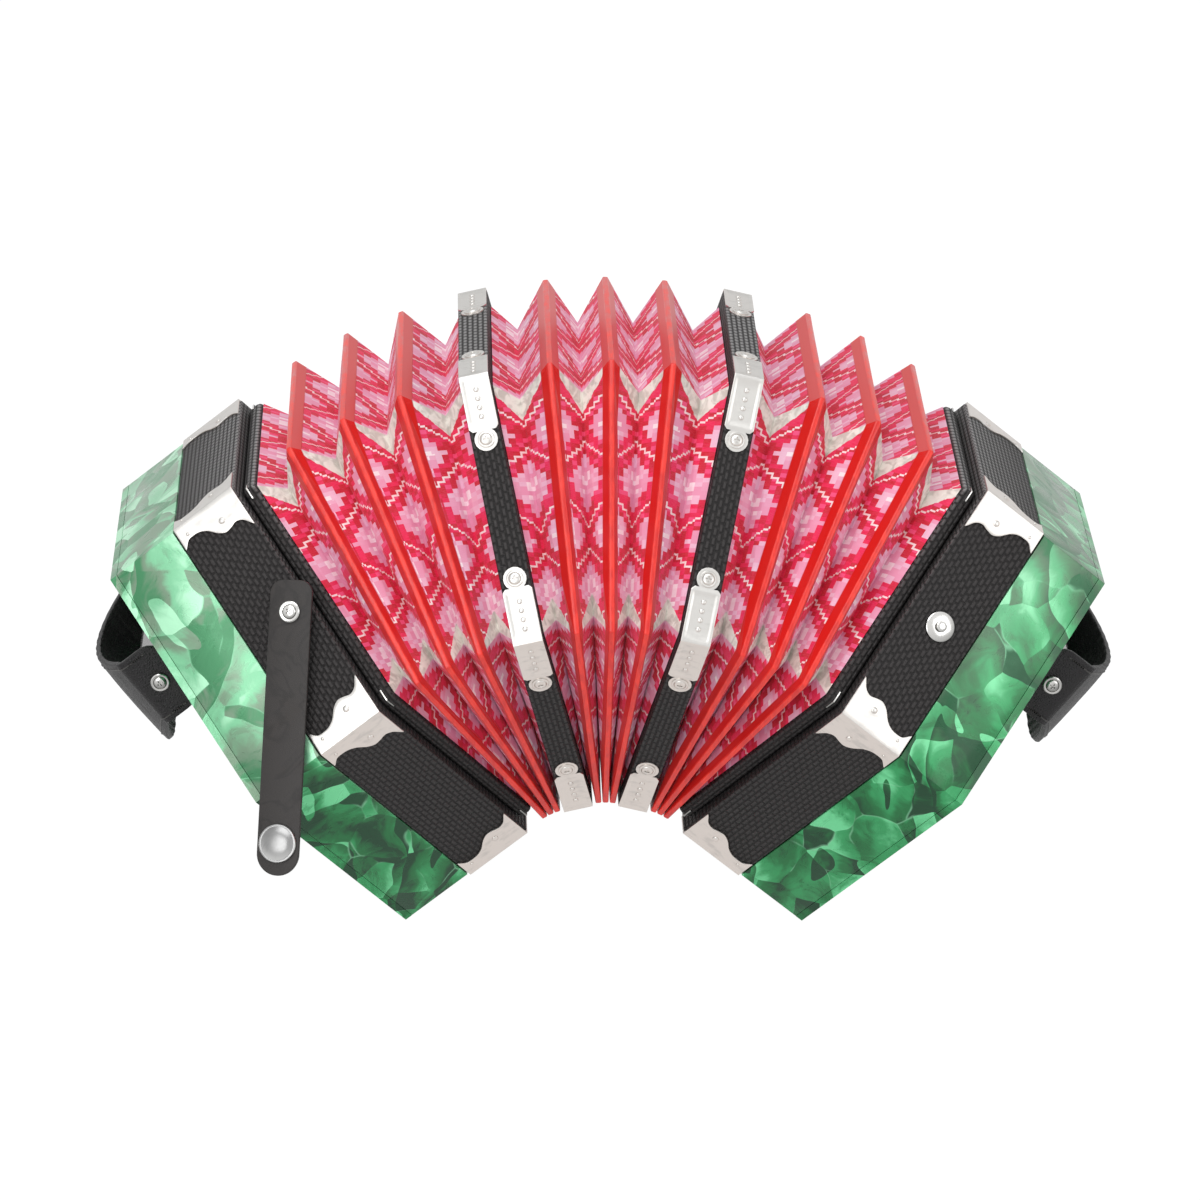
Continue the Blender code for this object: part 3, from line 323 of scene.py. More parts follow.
# Leathers: finish, material, rubbed and dyed colours, grain scale, roughness, relief
LEATHERS = (
    ("leather_black", "strap_leather_smooth",
     (0.032, 0.028, 0.026), (0.024, 0.021, 0.020), 1900.0, 0.48, 0.04 * MM),
    ("leather_padded", "strap_leather_soft",
     (0.022, 0.020, 0.020), (0.009, 0.008, 0.009), 900.0, 0.50, 0.22 * MM),
)

# Metals: finish, material, painted light colour towards the lamps and painted shade colour away,
# roughness, grain
METALS = (
    ("polished_steel", "polished_steel", (0.70, 0.69, 0.67), (0.24, 0.24, 0.23), 0.16, 0.05),
    ("chrome", "polished_chrome", (0.26, 0.26, 0.26), (0.62, 0.62, 0.61), 0.30, 0.04),
    ("nickel", "pressed_nickel", (0.55, 0.54, 0.52), (0.66, 0.60, 0.56), 0.32, 0.08),
)

joints = {joint["name"]: joint for joint in frame["joints"]}
_, SET_BACK, STANDING_HEIGHT = joints["fold_hinge_7"]["pos_m"]
ORIGIN = Matrix.Translation((0, SET_BACK, STANDING_HEIGHT))
HALF_TURN = Matrix.Rotation(math.pi, 4, "Z")
ALONG_X = Matrix.Rotation(math.pi / 2, 4, "Y")


# Materials


class Value:
    """A node's output to calculate with; each sum or product adds a node to its tree."""

    def __init__(self, socket):
        self.socket, self.tree = socket, socket.id_data

    def __add__(self, other):
        return combine("ADD", self, other)

    def __sub__(self, other):
        return combine("SUBTRACT", self, other)

    def __rsub__(self, other):
        return combine("SUBTRACT", other, self)

    def __mul__(self, other):
        return combine("MULTIPLY", self, other)

    def __truediv__(self, other):
        return combine("DIVIDE", self, other)


def values(node):
    """A node's outputs by name."""
    return {output.name: Value(output) for output in node.outputs}


def feed(socket, value):
    """Links a value to a socket, or writes a plain one on it."""
    if isinstance(value, Value):
        value.tree.links.new(value.socket, socket)
    else:
        socket.default_value = value


def give(node, **inputs):
    """Feeds a node's inputs by name."""
    for name, value in inputs.items():
        feed(node.inputs[name.replace("_", " ")], value)


def combine(operation, *operands, kind="ShaderNodeMath"):
    """A maths node on numbers and values, one of which is a value."""
    tree = next(operand.tree for operand in operands if isinstance(operand, Value))
    node = tree.nodes.new(kind)
    node.operation = operation
    for socket, operand in zip(node.inputs, operands):
        feed(socket, operand)
    return Value(node.outputs["Value" if operation == "DOT_PRODUCT" else 0])


def combine_vectors(operation, *operands):
    return combine(operation, *operands, kind="ShaderNodeVectorMath")


def stretched(place, *factors):
    return combine_vectors("MULTIPLY", place, factors)


def split(vector):
    """A vector's X, Y and Z, or a colour's red, green and blue."""
    node = vector.tree.nodes.new("ShaderNodeSeparateXYZ")
    feed(node.inputs[0], vector)
    return [Value(output) for output in node.outputs]


def blend_colours(factor, first, second):
    node = factor.tree.nodes.new("ShaderNodeMix")
    node.data_type = "RGBA"
    feed(node.inputs[0], factor)
    for socket, colour in ((node.inputs[6], first), (node.inputs[7], second)):
        feed(socket, colour if isinstance(colour, Value) else (*colour, 1.0))
    return Value(node.outputs[2])


def remap(value, low, high, start=0.0, stop=1.0):
    node = value.tree.nodes.new("ShaderNodeMapRange")
    node.interpolation_type = "SMOOTHSTEP"
    for socket, entry in zip(node.inputs, (value, low, high, start, stop)):
        feed(socket, entry)
    return Value(node.outputs[0])


def noise(place, scale, detail=3.0, roughness=0.5, distortion=0.0, output="Fac"):
    node = place.tree.nodes.new("ShaderNodeTexNoise")
    give(node, Vector=place, Scale=scale, Detail=detail, Roughness=roughness, Distortion=distortion)
    return values(node)[output]


def cells(place, scale, feature="F1"):
    node = place.tree.nodes.new("ShaderNodeTexVoronoi")
    node.feature = feature
    give(node, Vector=place, Scale=scale)
    return values(node)


def ramp(shade, stops):
    """A shade's colour by eased stops (place, colour)."""
    node = shade.tree.nodes.new("ShaderNodeValToRGB")
    node.color_ramp.interpolation = "EASE"
    while len(node.color_ramp.elements) < len(stops):
        node.color_ramp.elements.new(0.5)
    for element, (place, colour) in zip(node.color_ramp.elements, stops):
        element.position = place
        element.color = (*colour, 1.0)
    feed(node.inputs[0], shade)
    return Value(node.outputs[0])


def object_place(tree):
    return values(tree.nodes.new("ShaderNodeTexCoord"))["Object"]


def uv_place(tree, name="wrap"):
    node = tree.nodes.new("ShaderNodeUVMap")
    node.uv_map = name
    return Value(node.outputs["UV"])


def surface_normal(tree):
    return values(tree.nodes.new("ShaderNodeNewGeometry"))["Normal"]


def shader_group(name, inputs, outputs):
    """A node group of plain numbers: its tree, its inputs by name, and its end node."""
    group = bpy.data.node_groups.new(name, "ShaderNodeTree")
    for socket, value in inputs.items():
        made = group.interface.new_socket(socket, in_out="INPUT", socket_type="NodeSocketFloat")
        made.default_value = value
    for socket in outputs:
        group.interface.new_socket(socket, in_out="OUTPUT", socket_type="NodeSocketFloat")
    return group, values(group.nodes.new("NodeGroupInput")), group.nodes.new("NodeGroupOutput")


def use_group(tree, group, **inputs):
    node = tree.nodes.new("ShaderNodeGroup")
    node.node_tree = group
    give(node, **inputs)
    return values(node)


def material(name, **plain):
    """A new Principled material with plain values on its shader, and its tree."""
    made = bpy.data.materials.new(name)
    made.use_nodes = True
    give(made.node_tree.nodes["Principled BSDF"], **plain)
    return made, made.node_tree


def dress(made, colour, height, relief, strength, roughness=None):
    """Gives a material its colour, its bump, and its roughness where that varies."""
    shader = made.node_tree.nodes["Principled BSDF"]
    bump = made.node_tree.nodes.new("ShaderNodeBump")
    give(bump, Strength=strength, Distance=relief, Height=height)
    give(shader, Base_Color=colour, Normal=Value(bump.outputs["Normal"]))
    if roughness is not None:
        give(shader, Roughness=roughness)
    return made


def wear_group():
    """Fine scuffs and dust: a mottled mask, on Object coordinates."""
    group, given, stop = shader_group("fine_wear", {"Scale": 90.0, "Amount": 0.5}, ["Mask"])
    place = object_place(group)
    coarse = noise(place, given["Scale"], 4.0, 0.6)
    scratches = noise(stretched(place, 1.0, 7.0, 1.0), given["Scale"], 2.0)
    give(stop, Mask=remap(coarse * scratches, 0.24, 0.44) * given["Amount"])
    return group


def leather_group():
    """Pebbled leather grain with a few creases, on Object coordinates."""
    group, given, stop = shader_group("leather_grain", {"Scale": 700.0}, ["Height", "Crease"])
    place = object_place(group)
    grain = remap(cells(place, given["Scale"], "DISTANCE_TO_EDGE")["Distance"], 0.02, 0.30)
    folds = noise(place, 42.0, 3.0, 0.6, 0.8)
    crease = remap(combine("ABSOLUTE", folds - 0.5), 0.0, 0.05, 1.0, 0.0)
    give(stop, Height=grain - crease * 0.6, Crease=crease)
    return group


def weave_group():
    """Basket weave on the wrap UV: short raised dashes in rows that alternate like brickwork."""
    sizes = {"Length": 0.0021, "Width": 0.0011}
    group, given, stop = shader_group("basket_weave", sizes, ["Height", "Thread"])
    place = uv_place(group)
    across, along, _ = split(place)
    row = across / given["Width"]
    odd = combine("MODULO", combine("FLOOR", row), 2.0) * 0.5
    run = along / given["Length"] + odd
    bulge = remap(combine("PINGPONG", row, 0.5), 0.0, 0.35)
    bulge = bulge * remap(combine("PINGPONG", run, 0.5), 0.0, 0.22)
    thread = noise(stretched(place, 1.0, 5.0, 1.0), 900.0, 2.0)
    give(stop, Height=bulge + thread * 0.25, Thread=bulge)
    return group


def cloth_group():
    """Woven ikat of stepped diamonds and zigzag lines, counted in weaving steps from metres."""
    outputs = ["Field", "Diamond", "Heart", "Fleck"]
    group, given, stop = shader_group("ikat_cloth", {"Across": 0.0, "Along": 0.0}, outputs)
    steps, near, far = [], [], []
    for name, step, repeat in (
        ("Across", STEP_ACROSS, REPEAT_ACROSS),
        ("Along", STEP_ALONG, REPEAT_ALONG),
    ):
        steps.append(combine("FLOOR", combine("MULTIPLY_ADD", given[name], 1 / step, 0.5)))
        near.append(combine("PINGPONG", steps[-1], repeat / 2))
        far.append(repeat / 2 - near[-1])
    first, second = (across * DIAMOND_SLOPE + along for across, along in (near, far))
    nearest = combine("MINIMUM", first, second)
    cell = group.nodes.new("ShaderNodeCombineXYZ")
    give(cell, X=steps[0], Y=steps[1])
    fleck = group.nodes.new("ShaderNodeTexWhiteNoise")
    give(fleck, Vector=Value(cell.outputs[0]))
    give(
        stop,
        Field=combine("LESS_THAN", near[0] + near[1], LINE_STEPS),
        Diamond=combine("LESS_THAN", nearest, DIAMOND_STEPS),
        Heart=combine("LESS_THAN", nearest, HEART_STEPS),
        Fleck=values(fleck)["Value"],
    )
    return group


def bellows_cloth(ikat):
    """Red and pink ikat with a red tape along each crest and a pale kid gusset in each corner."""
    made, tree = material(
        "bellows_ikat",
        Sheen_Weight=0.12,
        Sheen_Roughness=0.4,
        Sheen_Tint=(*CLOTH_SHEEN, 1.0),
        Specular_IOR_Level=0.3,
    )
    place = uv_place(tree, "cloth")
    across, along, _ = split(place)
    from_crest, depth, _ = split(uv_place(tree, "edge"))
    rise = along - DIAMOND_HEIGHT
    threads = use_group(tree, ikat, Across=across, Along=rise)
    beside = use_group(tree, ikat, Across=across + LINE_WIDTH, Along=rise + LINE_WIDTH)
    line = combine("ABSOLUTE", threads["Field"] - beside["Field"])
    fleck = threads["Fleck"]
    ground = blend_colours(remap(fleck, 0.35, 0.65), CRIMSON, RED)
    ground = blend_colours(combine("GREATER_THAN", fleck, 0.90), ground, ROSE)
    petals = blend_colours(remap(fleck, 0.3, 0.8), PINK, MAUVE)
    heart = blend_colours(remap(fleck, 0.2, 0.75), PINK, PALE)
    petals = blend_colours(threads["Heart"], petals, heart)
    colour = blend_colours(line, ground, LINE)
    colour = blend_colours(threads["Diamond"], colour, petals)
    weave = noise(stretched(place, 1.0, 6.0, 1.0), 520.0, 3.0, 0.7)
    colour = blend_colours(remap(weave, 0.3, 0.7, 0.0, 0.16), colour, FADED)

    ragged = (noise(place, 260.0, 3.0, 0.6) - 0.5) * (3.2 * MM)
    gusset_width = depth * GUSSET_SPREAD + GUSSET_START + ragged
    corner_gap = depth * -math.tan(SLOPE) + CORNER / 2 - combine("ABSOLUTE", along)
    gusset = remap(gusset_width - corner_gap, -0.15 * MM, 0.15 * MM)
    creases = noise(object_place(tree), 260.0, 2.0, 0.5, 0.8)
    # painted shade: the kid darkens along its creases
    kid = blend_colours(remap(creases, 0.36, 0.62), KID_PAINTED_CREASE_SHADE, KID)
    colour = blend_colours(gusset, colour, kid)
    tape = remap(from_crest, TAPE_WIDTH - 0.2 * MM, TAPE_WIDTH + 0.2 * MM, 1.0, 0.0)
    colour = blend_colours(tape, colour, TAPE)

    plain_cloth = 1.0 - combine("MAXIMUM", tape, gusset)
    height = weave * plain_cloth + creases * gusset * 3.0 + tape * 1.4
    return dress(made, colour, height, 0.3 * MM, 0.6, tape * -0.24 + 0.62)


def crest_tape():
    """Bright red polished binding over a fold's crest, a little rubbed."""
    made, tree = material("crest_tape", Coat_Weight=0.15, Coat_Roughness=0.25)
    streak = noise(stretched(object_place(tree), 3.0, 1.0, 1.0), 120.0, 4.0, 0.6)
    colour = blend_colours(remap(streak, 0.35, 0.7), TAPE, TAPE_LIGHT)
    return dress(made, colour, streak, 0.4 * MM, 0.35, remap(streak, 0.3, 0.7, 0.28, 0.46))


def leatherette(weave, wear):
    """Black leatherette with a basket-weave emboss, painted paler where it faces up as painted
    light, with painted shade in the weave's hollows.
    """
    made, tree = material("leatherette_black", Specular_IOR_Level=0.3)
    woven = use_group(tree, weave, Length=0.0036, Width=0.0020)
    worn = use_group(tree, wear, Scale=900.0, Amount=0.5)
    # painted light: faces turned up blend towards the paler black
    painted_top_light = remap(split(surface_normal(tree))[2], 0.6, 0.95)
    colour = blend_colours(painted_top_light, BLACK_RAISED, BLACK_LIT)
    # painted shade: the hollows between raised threads take the darkest black
    colour = blend_colours(woven["Thread"], BLACK_PAINTED_HOLLOW_SHADE, colour)
    colour = blend_colours(worn["Mask"], colour, BLACK_WORN)
    grain = noise(object_place(tree), 900.0, 3.0, 0.7)
    rough = remap(woven["Thread"], 0.0, 1.0, 0.70, 0.52) + grain * 0.08
    return dress(made, colour, woven["Height"] + grain * 0.3, 0.6 * MM, 0.9, rough)


def grained_leather(name, grain, wear, rubbed, dyed, scale, roughness, relief):
    """Dyed black leather: pebbled grain, a few creases darkened with painted shade, and lighter
    rubbed places.
    """
    made, tree = material(name, Specular_IOR_Level=0.35)
    pebbles = use_group(tree, grain, Scale=scale)
    mask = use_group(tree, wear, Scale=55.0, Amount=0.8)["Mask"]
    colour = blend_colours(mask, dyed, rubbed)
    # painted shade darkens the creases
    colour = blend_colours(pebbles["Crease"] * 0.5, colour, BLACK_PAINTED_HOLLOW_SHADE)
    return dress(made, colour, pebbles["Height"], relief, 0.7, mask * 0.15 + roughness)


def pearl_sheet():
    """Green pearloid: folded veils and crumpled flakes, each shaded across its width, painted paler
    on upper faces as painted light and deeper on lower ones as painted shade.
    """
    made, tree = material(
        "pearl_green", Metallic=0.3, Coat_Weight=0.2, Coat_Roughness=0.08, Specular_IOR_Level=0.25
    )
    place = object_place(tree)
    middle = (0.5, 0.5, 0.5)
    bend = combine_vectors("SUBTRACT", noise(place, 30.0, 2.0, output="Color"), middle)
    pushed = combine_vectors("MULTIPLY_ADD", bend, (0.016, 0.016, 0.016), place)
    flakes = cells(pushed, FLAKE_SCALE)
    lean = combine_vectors("SUBTRACT", flakes["Color"], middle)
    inside = combine_vectors("SUBTRACT", pushed, flakes["Position"])
    slope = combine_vectors("DOT_PRODUCT", inside, lean) * FLAKE_SHADING
    clouds = noise(pushed, 60.0, 4.0, 0.55, 2.4)
    billow = noise(stretched(pushed, 1.3, 1.0, 0.6), 22.0, 1.6, 0.4, 1.0)
    veil = combine("FRACT", billow * VEILS)
    shade = split(flakes["Color"])[0] * 0.12 + clouds * 0.48 + veil * 0.36 + slope

    # painted light: faces turned up, and higher up the end, take the paler copy; the rest take the
    # darker copy as painted shade
    painted_upper_light = remap(split(surface_normal(tree))[2], -0.45, 0.55)
    height = combine_vectors("DOT_PRODUCT", place, (-0.5, 0.0, 1.0))
    painted_upper_light = painted_upper_light * remap(height, 0.02, 0.11, 0.1, 1.0)
    colour = blend_colours(painted_upper_light, ramp(shade, PEARL_PAINTED_SHADE), ramp(shade, PEARL_PAINTED_LIGHT))
    patchy = remap(noise(place, 70.0, 2.0), 0.50, 0.62)
    edge = cells(pushed, FLAKE_SCALE, "DISTANCE_TO_EDGE")["Distance"]
    colour = blend_colours(remap(edge, 0.0, 0.022, 0.6, 0.0) * patchy, colour, PEARL_MINT)
    return dress(made, colour, shade, 0.9 * MM, 0.25, remap(clouds, 0.3, 0.7, 0.24, 0.40))


def plated(name, wear, painted_light_colour, painted_shade_colour, roughness, grain):
    """Plated metal: one colour towards the lamps and another away from them, painted light and
    painted shade standing in for the studio's reflection, with fine rubbing marks.
    """
    made, tree = material(name, Metallic=1.0)
    mask = use_group(tree, wear, Scale=160.0, Amount=0.3)["Mask"]
    grit = noise(object_place(tree), 700.0, 3.0, 0.7)
    # painted light and shade: the colour follows how far the surface faces the lamps
    lit = combine_vectors("DOT_PRODUCT", surface_normal(tree), TOWARD_LAMPS)
    colour = blend_colours(remap(lit, 0.25, 0.95), painted_shade_colour, painted_light_colour)
    colour = blend_colours(mask, colour, tuple(channel * 0.6 for channel in painted_light_colour))
    return dress(made, colour, grit, 0.03 * MM, 0.3, mask * 0.12 + roughness + grit * grain)


def turned_bone(wear):
    """Bone-white key tops, a little yellowed, with hairline grain."""
    made, tree = material(
        "button_white", Coat_Weight=0.3, Subsurface_Weight=0.15, Subsurface_Radius=BONE_DEPTH
    )
    hair = noise(stretched(object_place(tree), 1.0, 9.0, 1.0), 320.0)
    mask = use_group(tree, wear, Scale=160.0, Amount=0.5)["Mask"]
    colour = blend_colours(remap(hair, 0.35, 0.7), BONE, BONE_SHADE)
    colour = blend_colours(mask, colour, BONE_WORN)
    return dress(made, colour, hair, 0.05 * MM, 0.3, remap(hair, 0.3, 0.7, 0.24, 0.36))


def black_lacquer(wear):
    """Ebonised rail: deep black polish with grain just showing."""
    made, tree = material("rail_black", Coat_Weight=0.6, Coat_Roughness=0.12)
    pores = noise(stretched(object_place(tree), 1.0, 0.07, 1.0), 900.0, 4.0, 0.6)
    mask = use_group(tree, wear, Scale=60.0, Amount=0.5)["Mask"]
    colour = blend_colours(remap(pores, 0.35, 0.65), LACQUER, LACQUER_GRAIN)
    colour = blend_colours(mask, colour, LACQUER_WORN)
    return dress(made, colour, pores, 0.08 * MM, 0.4, mask * 0.2 + 0.22)


def sycamore(wear):
    """Pale tone wood of the boards and pans, with long straight grain."""
    made, tree = material("wood", Roughness=0.55)
    along_grain = stretched(object_place(tree), 1.0, 0.06, 1.0)
    rings = noise(along_grain, 240.0, 5.0, 0.6, 0.4)
    pores = noise(along_grain, 1500.0, 2.0, 0.7)
    mask = use_group(tree, wear, Scale=40.0, Amount=0.4)["Mask"]
    colour = blend_colours(remap(rings, 0.32, 0.68), WOOD_RING, WOOD_PALE)
    colour = blend_colours(remap(pores, 0.55, 0.75, 0.0, 0.4), colour, WOOD_PORE)
    return dress(made, blend_colours(mask, colour, WOOD_WORN), pores, 0.1 * MM, 0.4)


def sound_cloth():
    """Thin black gauze behind the fretwork."""
    made, tree = material("fret_gauze", Roughness=0.85, Sheen_Weight=0.3)
    mesh = tree.nodes.new("ShaderNodeTexBrick")
    give(mesh, Vector=uv_place(tree), Scale=900.0)
    for socket, grey in (("Color1", GAUZE), ("Color2", GAUZE_CROSS), ("Mortar", GAUZE_HOLE)):
        feed(mesh.inputs[socket], (*grey, 1.0))
    woven = values(mesh)
    return dress(made, woven["Color"], woven["Fac"], 0.2 * MM, 0.5)


def saddle_thread():
    """Waxed black stitching, twisted."""
    made, tree = material("strap_thread", Roughness=0.5)
    twist = noise(object_place(tree), 1400.0, 2.0, 0.7)
    return dress(made, blend_colours(twist, THREAD, THREAD_WAXED), twist, 0.1 * MM, 0.6)


def make_materials():
    """Every finish, by the name that a piece asks for it by."""
    wear, grain, weave = wear_group(), leather_group(), weave_group()
    made = {
        "pearl_green": pearl_sheet(),
        "leatherette_black": leatherette(weave, wear),
        "bellows_cloth": bellows_cloth(cloth_group()),
        "crest_tape": crest_tape(),
        "button_white": turned_bone(wear),
        "rail_black": black_lacquer(wear),
        "wood": sycamore(wear),
        "gauze": sound_cloth(),
        "thread": saddle_thread(),
    }
    for finish, name, *settings in LEATHERS:
        made[finish] = grained_leather(name, grain, wear, *settings)
    for finish, name, *settings in METALS:
        made[finish] = plated(name, wear, *settings)
    return made


# Shaping tools


def deselect():
    bpy.ops.object.select_all(action="DESELECT")


def activate(piece):
    deselect()
    piece.select_set(True)
    bpy.context.view_layer.objects.active = piece


def rename(piece, name):
    piece.name = name
    piece.data.name = name
    return piece


def added(name, add, **settings):
    """A new primitive, with its place in its mesh, under its own name."""
    deselect()
    add(**settings)
    bpy.ops.object.transform_apply(location=True, rotation=True, scale=True)
    return rename(bpy.context.object, name)


def edit_mode(select="SELECT"):
    bpy.ops.object.mode_set(mode="EDIT")
    bpy.ops.mesh.select_mode(type="FACE")
    bpy.ops.mesh.select_all(action=select)


def object_mode():
    bpy.ops.object.mode_set(mode="OBJECT")


def edit_faces(test):
    """Goes into edit mode with the faces selected whose normal passes the test."""
    edit_mode("DESELECT")
    mesh = bmesh.from_edit_mesh(bpy.context.object.data)
    for face in mesh.faces:
        if test(face.normal):
            face.select_set(True)
    bmesh.update_edit_mesh(bpy.context.object.data)


def recalculate_normals():
    edit_mode()
    bpy.ops.mesh.remove_doubles(threshold=0.000001)
    bpy.ops.mesh.normals_make_consistent(inside=False)
    object_mode()


def extrude(rise):
    bpy.ops.mesh.extrude_region_move(TRANSFORM_OT_translate={"value": (0, 0, rise)})


def scale_across(share, height):
    centre = (0, 0, height)
    bpy.ops.transform.resize(value=(share, share, 1), center_override=centre)


def smooth(degrees):
    bpy.ops.object.shade_smooth_by_angle(angle=math.radians(degrees))


def modify(piece, kind, **settings):
    """Adds a modifier with these settings and applies it."""
    activate(piece)
    modifier = piece.modifiers.new(kind.lower(), kind)
    for name, value in settings.items():
        setattr(modifier, name, value)
    bpy.ops.object.modifier_apply(modifier=modifier.name)


def soften(piece, width, segments=2, angle=30.0):
    """Rounds every edge sharper than the angle, and smooths the shading between flats."""
    limit = math.radians(angle)
    modify(piece, "BEVEL", width=width, segments=segments, limit_method="ANGLE", angle_limit=limit)
    smooth(32.0)


def joined(name, pieces):
    """Several pieces as one."""
    activate(pieces[0])
    for piece in pieces:
        piece.select_set(True)
    bpy.ops.object.join()
    return rename(bpy.context.object, name)


def copied(piece, name, place):
    """A copy of a modelled piece, with its own mesh, put in its place."""
    copy = piece.copy()
    copy.data = piece.data.copy()
    copy.data.transform(place)
    bpy.context.scene.collection.objects.link(copy)
    return rename(copy, name)


def drop(*pieces):
    for piece in pieces:
        bpy.data.objects.remove(piece)


def merge_solids(piece, tool, operation):
    """Unites a tool with a piece, or cuts it out of the piece, and takes the tool away."""
    modify(piece, "BOOLEAN", operation=operation, object=tool, solver="EXACT")
    drop(tool)


def wrap_uv(piece):
    """A UV map in metres: along X and round the casing on its sides, and flat on its ends."""
    layer = piece.data.uv_layers.new(name="wrap")
    for face in piece.data.polygons:
        around = Vector((0, -face.normal.z, face.normal.y))
        flat_end = around.length < 0.7
        for index in face.loop_indices:
            point = piece.data.vertices[piece.data.loops[index].vertex_index].co
            round_casing = (point.x, point.dot(around.normalized()))
            layer.data[index].uv = (point.z, point.y) if flat_end else round_casing


def paint(piece, finish):
    piece.data.materials.clear()
    piece.data.materials.append(finishes[finish])


def settle(piece, place, body, finish, *nodes):
    """Puts a finished piece in its place, gives it its material, and sets it on its body."""
    piece.data.transform(place)
    paint(piece, finish)
    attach(piece, body)
    if nodes:
        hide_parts(*nodes)


def moved(*distances):
    return Matrix.Translation(distances)


# Shapes that repeat


def hexagon_casing(name, apothem, wall, start, end, rounding):
    """A hexagonal tube along X: a cylinder, its ends inset and bridged and its edges rounded."""
    piece = added(
        name,
        bpy.ops.mesh.primitive_cylinder_add,
        vertices=6,
        radius=apothem / math.cos(SLOPE),
        depth=end - start,
        location=((start + end) / 2, 0, APOTHEM),
        rotation=(0, math.pi / 2, 0),
    )
    edit_faces(lambda normal: abs(normal.x) > 0.9)
    bpy.ops.mesh.inset(thickness=wall, use_even_offset=True)
    bpy.ops.mesh.bridge_edge_loops()
    object_mode()
    recalculate_normals()
    soften(piece, rounding, 3)
    wrap_uv(piece)
    return piece


def disc(name, steps, radius, height):
    add = bpy.ops.mesh.primitive_circle_add
    where = (0, 0, height)
    return added(name, add, vertices=steps, radius=radius, fill_type="NGON", location=where)


def turned(name, profile, steps=32):
    """A lathe-turned piece about Z, from a closed disc out along its (radius, height) profile."""
    radius, height = profile[0]
    piece = disc(name, steps, radius, height)
    edit_mode()
    for (last_radius, last_height), (radius, height) in zip(profile, profile[1:]):
        extrude(height - last_height)
        scale_across(radius / last_radius, height)
    object_mode()
    recalculate_normals()
    smooth(35.0)
    return piece


def scaled(outline, across, up=None, start=0.0):
    """A turned outline by its unit of radius, its unit of height, and the height it starts from."""
    up = across if up is None else up
    return [(radius * across, start + height * up) for radius, height in outline]


def outline_plate(name, outline, thickness):
    """A flat plate in XY from an outline, its underside at z = 0."""
    piece = disc(name, len(outline), 1.0, 0.0)
    for index, (x, y) in zip(piece.data.polygons[0].vertices, outline):
        piece.data.vertices[index].co = (x, y, 0)
    edit_mode()
    extrude(thickness)
    object_mode()
    recalculate_normals()
    return piece


def arc(x, y, radius, start, stop, steps):
    """Points on an arc round (x, y), both ends among them."""
    angles = [start + (stop - start) * step / steps for step in range(steps + 1)]
    return [(x + radius * math.cos(angle), y + radius * math.sin(angle)) for angle in angles]


def grid(name, columns, rows):
    """A flat grid from -1 to 1 both ways."""
    add = bpy.ops.mesh.primitive_grid_add
    return added(name, add, x_subdivisions=columns, y_subdivisions=rows, size=2.0)


def bent_plate(name, columns, rows, shape, apothem, thickness):
    """A plate over the corner at +Y, from a grid that shape(u, v) turns into (arm, along, lift)."""
    piece = grid(name, columns, rows)
    radius = apothem / math.cos(SLOPE)
    for vertex in piece.data.vertices:
        arm, along, lift = shape(vertex.co.x, vertex.co.y)
        out = (1 / math.cos(SLOPE), 0)
        if abs(arm) >= 0.01 * MM:
            out = (math.cos(SLOPE), math.copysign(math.sin(SLOPE), arm))
        y, z = radius - abs(arm) / 2, APOTHEM + arm * math.cos(SLOPE)
        vertex.co = (along, y + out[0] * lift, z + out[1] * lift)
    piece.data.update()
    if piece.data.polygons[0].normal.y < 0:
        piece.data.flip_normals()
    modify(piece, "SOLIDIFY", thickness=thickness, offset=1.0, use_even_offset=True)
    soften(piece, PLATE_ROUNDING, 2, 50.0)
    return piece


def on_flat(off, point):
    """A place on a flat of the casing: X outwards along the instrument, Z off the flat."""
    outwards = Vector((1, 0, 0))
    turn = Matrix((outwards, off.cross(outwards), off)).transposed().to_4x4()
    return Matrix.Translation(point) @ turn


def over_flat(arm, along, lift):
    """A place on the flat next to the corner at +Y, an arm's distance from the corner."""
    off = Vector((0, math.cos(SLOPE), math.copysign(math.sin(SLOPE), arm)))
    edge = Vector((along, CORNER - abs(arm) / 2, APOTHEM + arm * math.cos(SLOPE)))
    return on_flat(off, edge + off * lift)


def round_corner(index):
    """Turns what stands at the corner at +Y to another corner of the hexagon."""
    return moved(0, 0, APOTHEM) @ Matrix.Rotation(index * SIXTH, 4, "X") @ moved(0, 0, -APOTHEM)


def cross_recess(size, depth):
    """The tapered cross that is cut into a screw's head, round z = 0 and pointing down."""
    add = bpy.ops.mesh.primitive_cube_add
    bar = (size, size * RECESS_BAR, 2 * depth)
    arms = []
    for turn in (0.0, math.pi / 2):
        arms.append(added("recess_arm", add, size=1.0, rotation=(0, 0, turn), scale=bar))
        edit_faces(lambda normal: normal.z < -0.9)
        scale_across(RECESS_TAPER, -depth)
        object_mode()
    merge_solids(*arms, "UNION")
    return arms[0]


def cross_head_screw(name, radius, height, ring):
    """A domed screw head on z = 0 with a cross recess and a raised ring round it."""
    profile = [(radius * 0.9, -0.4 * MM), (radius + ring, 0.0), (radius + ring, height * 0.35)]
    profile += [(radius + ring * 0.7, height * 0.55), (radius + ring * 0.1, height * 0.5)]
    profile += [(radius, height * 0.3)] + scaled(SCREW_DOME, radius, height)
    head = turned(name, profile)
    recess = cross_recess(radius * RECESS_SIZE, height * RECESS_DEPTH)
    recess.data.transform(moved(0, 0, height))
    merge_solids(head, recess, "DIFFERENCE")
    smooth(30.0)
    return head


def domed_rivet(name, radius, height):
    return turned(name, [(radius, -0.2 * MM)] + scaled(RIVET_DOME, radius, height), 14)


# The bellows


